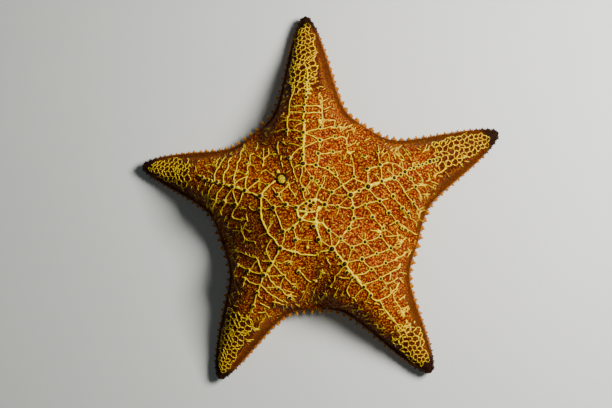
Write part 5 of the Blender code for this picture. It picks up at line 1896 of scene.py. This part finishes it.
@dataclass
class Mouth:
    """Five jaws with their spines, round a puckered membrane with a small opening."""

    form: BodyForm
    size: tuple[float, float, float] = (5.2 * MM, 5.0 * MM, 3.6 * MM)
    jaw_grid: tuple[int, int] = (17, 28)
    squareness: Span = (0.55, 0.8)
    tooth: Turned = Turned((1.0, 0.95, 0.7), (0.0, 0.5, 0.88), (-0.2, 1.0), 7)
    tooth_angles: tuple[float, ...] = (-75.0, -50.0, -25.0, 0.0, 25.0, 50.0, 75.0)
    tooth_width: float = 0.42 * MM
    tooth_length: Span = (1.9, 2.3)
    tooth_drop: float = -0.32
    rings: int = 26
    spokes: int = 120
    folds: int = 20

    def build(self, bone: bpy.types.Material, flesh: bpy.types.Material) -> None:
        """Makes the jaws and the membrane over their nodes."""
        dice = np.random.default_rng(31)
        for k in range(1, self.form.sectors // 2 + 1):
            self._jaw(k, bone, dice)
        self._membrane(flesh)

    def _jaw(self, k: int, bone: bpy.types.Material, dice: np.random.Generator) -> None:
        """A rounded wedge, narrower towards the mouth, with spines round its inner end."""
        low, high = (np.array(corner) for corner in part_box(f"jaw_{k}"))
        middle = (low + high) / 2
        inward = unit(self.form.centre - middle[:2])
        beside = np.array((-inward[1], inward[0]))
        rows, columns = self.jaw_grid
        turns = 2 * np.pi * np.arange(columns) / columns
        a, b = np.meshgrid(np.linspace(0, np.pi, rows), turns, indexing="ij")
        power, long_power = self.squareness
        ring = np.sin(a) ** power
        along = np.cos(a)
        along = np.sign(along) * np.abs(along) ** long_power
        cos, sin = np.cos(b), np.sin(b)
        width = np.sign(cos) * np.abs(cos) ** power * ring * (1 - 0.42 * (along + 1) / 2)
        tall = np.sign(sin) * np.abs(sin) ** power * ring
        seam = 1 - 0.1 * np.exp(-((width * 4) ** 2))
        reach, wide, deep = np.array(self.size) / 2
        plan = along[..., None] * inward * reach + width[..., None] * beside * wide
        z = middle[2] + tall * deep * seam
        points = np.concatenate([middle[:2] + plan, z[..., None]], axis=-1)
        sheets = Sheets()
        spot = np.array((np.mod(math.atan2(-inward[1], -inward[0]) / (2 * np.pi), 1.0), 0.96))
        spots = spot + np.stack([along, width], axis=-1) * PATCH
        rise = np.clip(0.5 + 0.4 * along - 0.2 * tall, 0, 1)
        sheets.add(points, grid_faces(rows, columns, True), spots, rise=rise, tip=0.0)
        turn = np.radians(np.array(self.tooth_angles))
        count = len(turn)
        away = np.cos(turn)[:, None] * inward + np.sin(turn)[:, None] * beside
        roots = middle[:2] + inward * reach * 0.35 + away * (0.62 * wide, 0.62 * wide)
        roots = np.concatenate([roots, np.full((count, 1), middle[2] - 0.45 * deep)], axis=-1)
        point = np.concatenate([away, np.full((count, 1), self.tooth_drop)], axis=-1)
        tall = dice.uniform(*self.tooth_length, count) * MM
        wide = np.full(count, self.tooth_width)
        sizes = np.stack([wide, wide, tall], axis=-1)
        spots = np.broadcast_to(spot, (count, 2))
        axes = frames(unit(point))
        scatter(sheets, self.tooth, roots, axes, sizes, spots, tip=np.zeros(count))
        item = sheets.make(f"jaw_plate_{k}", 1e-6)
        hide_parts(f"jaw_{k}")
        dress(item, bone)

    def _membrane(self, flesh: bpy.types.Material) -> None:
        """A disc, folded like a drawn purse towards its small opening, closed above, the opening
        painted darker as shade.
        """
        low, high = (np.array(corner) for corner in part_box("mouth_membrane"))
        reach = (high[0] - low[0]) / 2
        share = np.concatenate([np.linspace(1.0, 0.1, self.rings), [0.06, 0.02]])
        turns = 2 * np.pi * np.arange(self.spokes) / self.spokes
        share, angle = np.meshgrid(share, turns, indexing="ij")
        fold = np.sin(angle * self.folds + 2 * np.sin(angle * 3)) * (1 - share) ** 0.6 * share
        lip = np.exp(-(((share - 0.2) / 0.1) ** 2))
        hole = 1 - smooth(0.04, 0.14, share)
        z = low[2] - 0.35 * MM * lip + 1.1 * MM * hole + 0.32 * MM * fold + 0.1 * MM
        x = self.form.centre[0] + reach * share * np.cos(angle)
        y = self.form.centre[1] + reach * share * np.sin(angle)
        points = np.stack([x, y, z], axis=-1)
        top = points[:1].copy()
        top[..., 2] = high[2] - 0.1 * MM
        points = np.concatenate([top, points])
        up = np.concatenate([np.full((1, self.spokes), 0.94), 1 - 0.05 * share])
        spots = np.stack([np.broadcast_to(turns / (2 * np.pi), up.shape), up], axis=-1)
        # the opening is painted darker than the folds round it: painted shade in the hole
        rise = np.concatenate([np.full((1, self.spokes), 0.5), 0.5 - 0.5 * hole + 0.4 * lip])
        sheets = Sheets()
        rows = len(points)
        faces = grid_faces(rows, self.spokes, True)
        sheets.add(points, faces, spots, rise=rise, tip=0.0)
        ring = np.arange(self.spokes)
        ends = np.array([ring[::-1], (rows - 1) * self.spokes + ring])
        sheets.faces.append(ends)
        item = sheets.make("mouth_skin")
        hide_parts("mouth_membrane")
        dress(item, flesh)


@dataclass
class Tips:
    """The last plate of each arm, with small spines round it and an eyespot under it."""

    form: BodyForm
    plate: Turned = Turned(
        (0.55, 0.9, 1.0, 0.9, 0.55), (-0.8, -0.4, 0.0, 0.45, 0.85), (-1.0, 1.0), 14
    )
    spine: Turned = Turned((1.0, 0.8, 0.5), (0.0, 0.5, 0.85), (-0.3, 1.0), 7)

    def build(self, dark: bpy.types.Material, red: bpy.types.Material) -> None:
        """Makes the plates, their spines and the eyespots."""
        form = self.form
        dice = np.random.default_rng(5)
        sector = np.arange(0, form.sectors, 2)
        count = len(sector)
        reach = form.length[sector] - 2.2 * MM
        plan = np.stack([reach, np.zeros(count)], axis=-1)
        level = form.base + form.raised(sector, reach) + 3.0 * MM
        roots = form.place(sector, plan, level)
        ahead = form.turned(sector, plan, np.tile((1.0, 0.0, 0.0), (count, 1)))
        axes = frames(ahead)
        spots = form.unwrap(sector, plan)
        sheets, eyes = Sheets(), Sheets()
        sizes = np.tile(np.array((2.1, 2.2, 2.3)) * MM, (count, 1))
        scatter(sheets, self.plate, roots, axes, sizes, spots, tip=np.full(count, 0.9))
        for turn in np.radians((-100, -60, -25, 25, 60, 100, 145, 215)):
            away = ahead * 0.55
            away = away + axes[:, :, 0] * math.sin(turn) + axes[:, :, 1] * math.cos(turn)
            start = roots + away * 1.5 * MM
            size = np.tile((0.36, 0.36, 1.2), (count, 1)) * MM * dice.uniform(0.8, 1.15, (count, 1))
            dark_share = np.full(count, 0.75)
            scatter(sheets, self.spine, start, frames(unit(away)), size, spots, tip=dark_share)
        below = roots + ahead * 2.0 * MM - np.array((0.0, 0.0, 1.2 * MM))
        size = np.tile((0.8, 0.8, 0.8), (count, 1)) * MM
        scatter(eyes, self.plate, below, axes, size, spots, tip=np.zeros(count))
        dress(sheets.make("tip_plates"), dark)
        dress(eyes.make("eyespots"), red)


# the studio
@dataclass
class Studio:
    """A pale floor, one strong soft light from the right, weak fill, and the camera above."""

    lens: Lens

    def build(self) -> None:
        """Makes the floor, the lights and the camera."""
        self._floor()
        self._light("key", (0.385, 0.140, 0.439), 0.20, 7.40, (1.0, 0.92, 0.74))
        self._light("fill", (-0.3, -0.6, 1.3), 1.2, 0.60, (0.92, 1.0, 0.84))
        world = bpy.data.worlds.new("studio")
        bpy.context.scene.world = world
        world.use_nodes = True
        sky = world.node_tree.nodes["Background"]
        sky.inputs["Color"].default_value = (0.9, 0.95, 0.84, 1.0)
        sky.inputs["Strength"].default_value = 0.045
        self._camera()

    def _floor(self) -> None:
        """A plain pale floor at the level that the animal rests on."""
        reach = 3.0
        corners = [(-reach, -reach, 0), (reach, -reach, 0), (reach, reach, 0), (-reach, reach, 0)]
        mesh = bpy.data.meshes.new("floor")
        mesh.from_pydata(corners, [], [(0, 1, 2, 3)])
        floor = bpy.data.objects.new("floor", mesh)
        bpy.context.scene.collection.objects.link(floor)
        material, graph, surface = blank_material("floor_paint")
        place = graph.node("ShaderNodeTexCoord").outputs["Object"]
        cloud = graph.noise(place, 9.0, 3.0)
        colour = graph.mix(cloud, tone(218, 226, 240), tone(226, 234, 248))
        graph.feed(surface.inputs["Base Color"], colour)
        surface.inputs["Roughness"].default_value = 0.85
        surface.inputs["Specular IOR Level"].default_value = 0.2
        mesh.materials.append(material)

    def _light(
        self,
        name: str,
        place: tuple[float, float, float],
        size: float,
        power: float,
        colour: tuple[float, float, float],
    ) -> None:
        """A soft square light that faces the animal."""
        data = bpy.data.lights.new(name, "AREA")
        data.size, data.energy, data.color = size, power, colour
        lamp = bpy.data.objects.new(name, data)
        lamp.location = place
        lamp.rotation_euler = (-Vector(place)).to_track_quat("-Z", "Y").to_euler()
        bpy.context.scene.collection.objects.link(lamp)

    def _camera(self) -> None:
        """The camera, looking steeply down."""
        data = bpy.data.cameras.new("camera")
        data.sensor_width = 36.0
        data.lens = 18.0 / math.tan(self.lens.field_of_view / 2)
        data.clip_start = 0.01
        camera = bpy.data.objects.new("camera", data)
        camera.location = self.lens.eye
        camera.rotation_euler = Matrix(self.lens.axes().tolist()).transposed().to_euler()
        bpy.context.scene.collection.objects.link(camera)
        bpy.context.scene.camera = camera


def main() -> None:
    """Builds the animal, piece by piece, and the studio round it."""
    logging.basicConfig(level=logging.INFO, format="%(message)s")
    form = BodyForm()
    lens = Lens()
    net = Net(form, lens, np.random.default_rng(11))
    net.lay()
    group = markings()
    hide = HideFinish("skin", 0.6, 0.16 * MM).build(group)
    grain = HideFinish("granules", 0.55, 0.05 * MM).build(group)
    pale = HornFinish("ridges", PALETTE.ridge_rim, PALETTE.ridge, roughness=0.5, turn=(0.15, 0.6))
    pale = pale.build()
    # tubercles dark with their tops lighter as a painted highlight; the vent point and eyespots share
    # this
    dark = HornFinish("tubercle", PALETTE.knob, PALETTE.knob_painted_highlight, turn=(0.8, 1.15), roughness=0.38)
    dark = dark.build()
    collar = HornFinish("collar", PALETTE.ridge_rim, PALETTE.collar).build()
    plate = HornFinish("plate", PALETTE.wall, PALETTE.spine, turn=(0.35, 1.0)).build()
    valve = HornFinish("valve", PALETTE.valve, PALETTE.valve_top, turn=(0.0, 0.6)).build()
    horn = HornFinish("spine", PALETTE.spine, PALETTE.spine_top, turn=(0.3, 1.1)).build()
    bone = HornFinish("bone", PALETTE.under_fleck, PALETTE.under).build()
    flesh = HornFinish("flesh", PALETTE.flesh, PALETTE.feet, turn=(0.2, 0.9)).build()
    # the sieve plate, with its furrow troughs and rim painted dark as shade
    sieve = HornFinish("sieve", PALETTE.wall, PALETTE.sieve, turn=(0.1, 0.7)).build()
    top, wall, bottom = Skin(form, net).build(hide)
    ridges = Ridges(form, net)
    ridges.build("net_ridges", [line for line in net.lines if line.pen.width > 0.6 * MM], pale)
    ridges.build("net_fine", [line for line in net.lines if line.pen.width <= 0.6 * MM], pale)
    Knobs(form, net).build(dark, collar)
    grains = Granules(1.2 * MM * MM, (0.4 * MM, 0.62 * MM), 0.3 * MM)
    grains.build("granules_top", top, grain, 61, 2)
    Granules(1.5 * MM * MM, (0.4 * MM, 0.65 * MM), 0.32 * MM).build("granules_wall", wall, grain, 62)
    Granules(2.4 * MM * MM, (0.6 * MM, 0.85 * MM), 0.4 * MM).build("granules_under", bottom, grain, 63)
    Margin(form).build(plate, horn)
    Sieve(form).build(sieve)
    Vent(form, net.seen(net.vent)[0][0]).build(valve, dark)
    Furrows(form).build(bone, flesh)
    Mouth(form).build(bone, flesh)
    Tips(form).build(plate, dark)
    Studio(lens).build()
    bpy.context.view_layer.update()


if __name__ == "__main__":
    main()
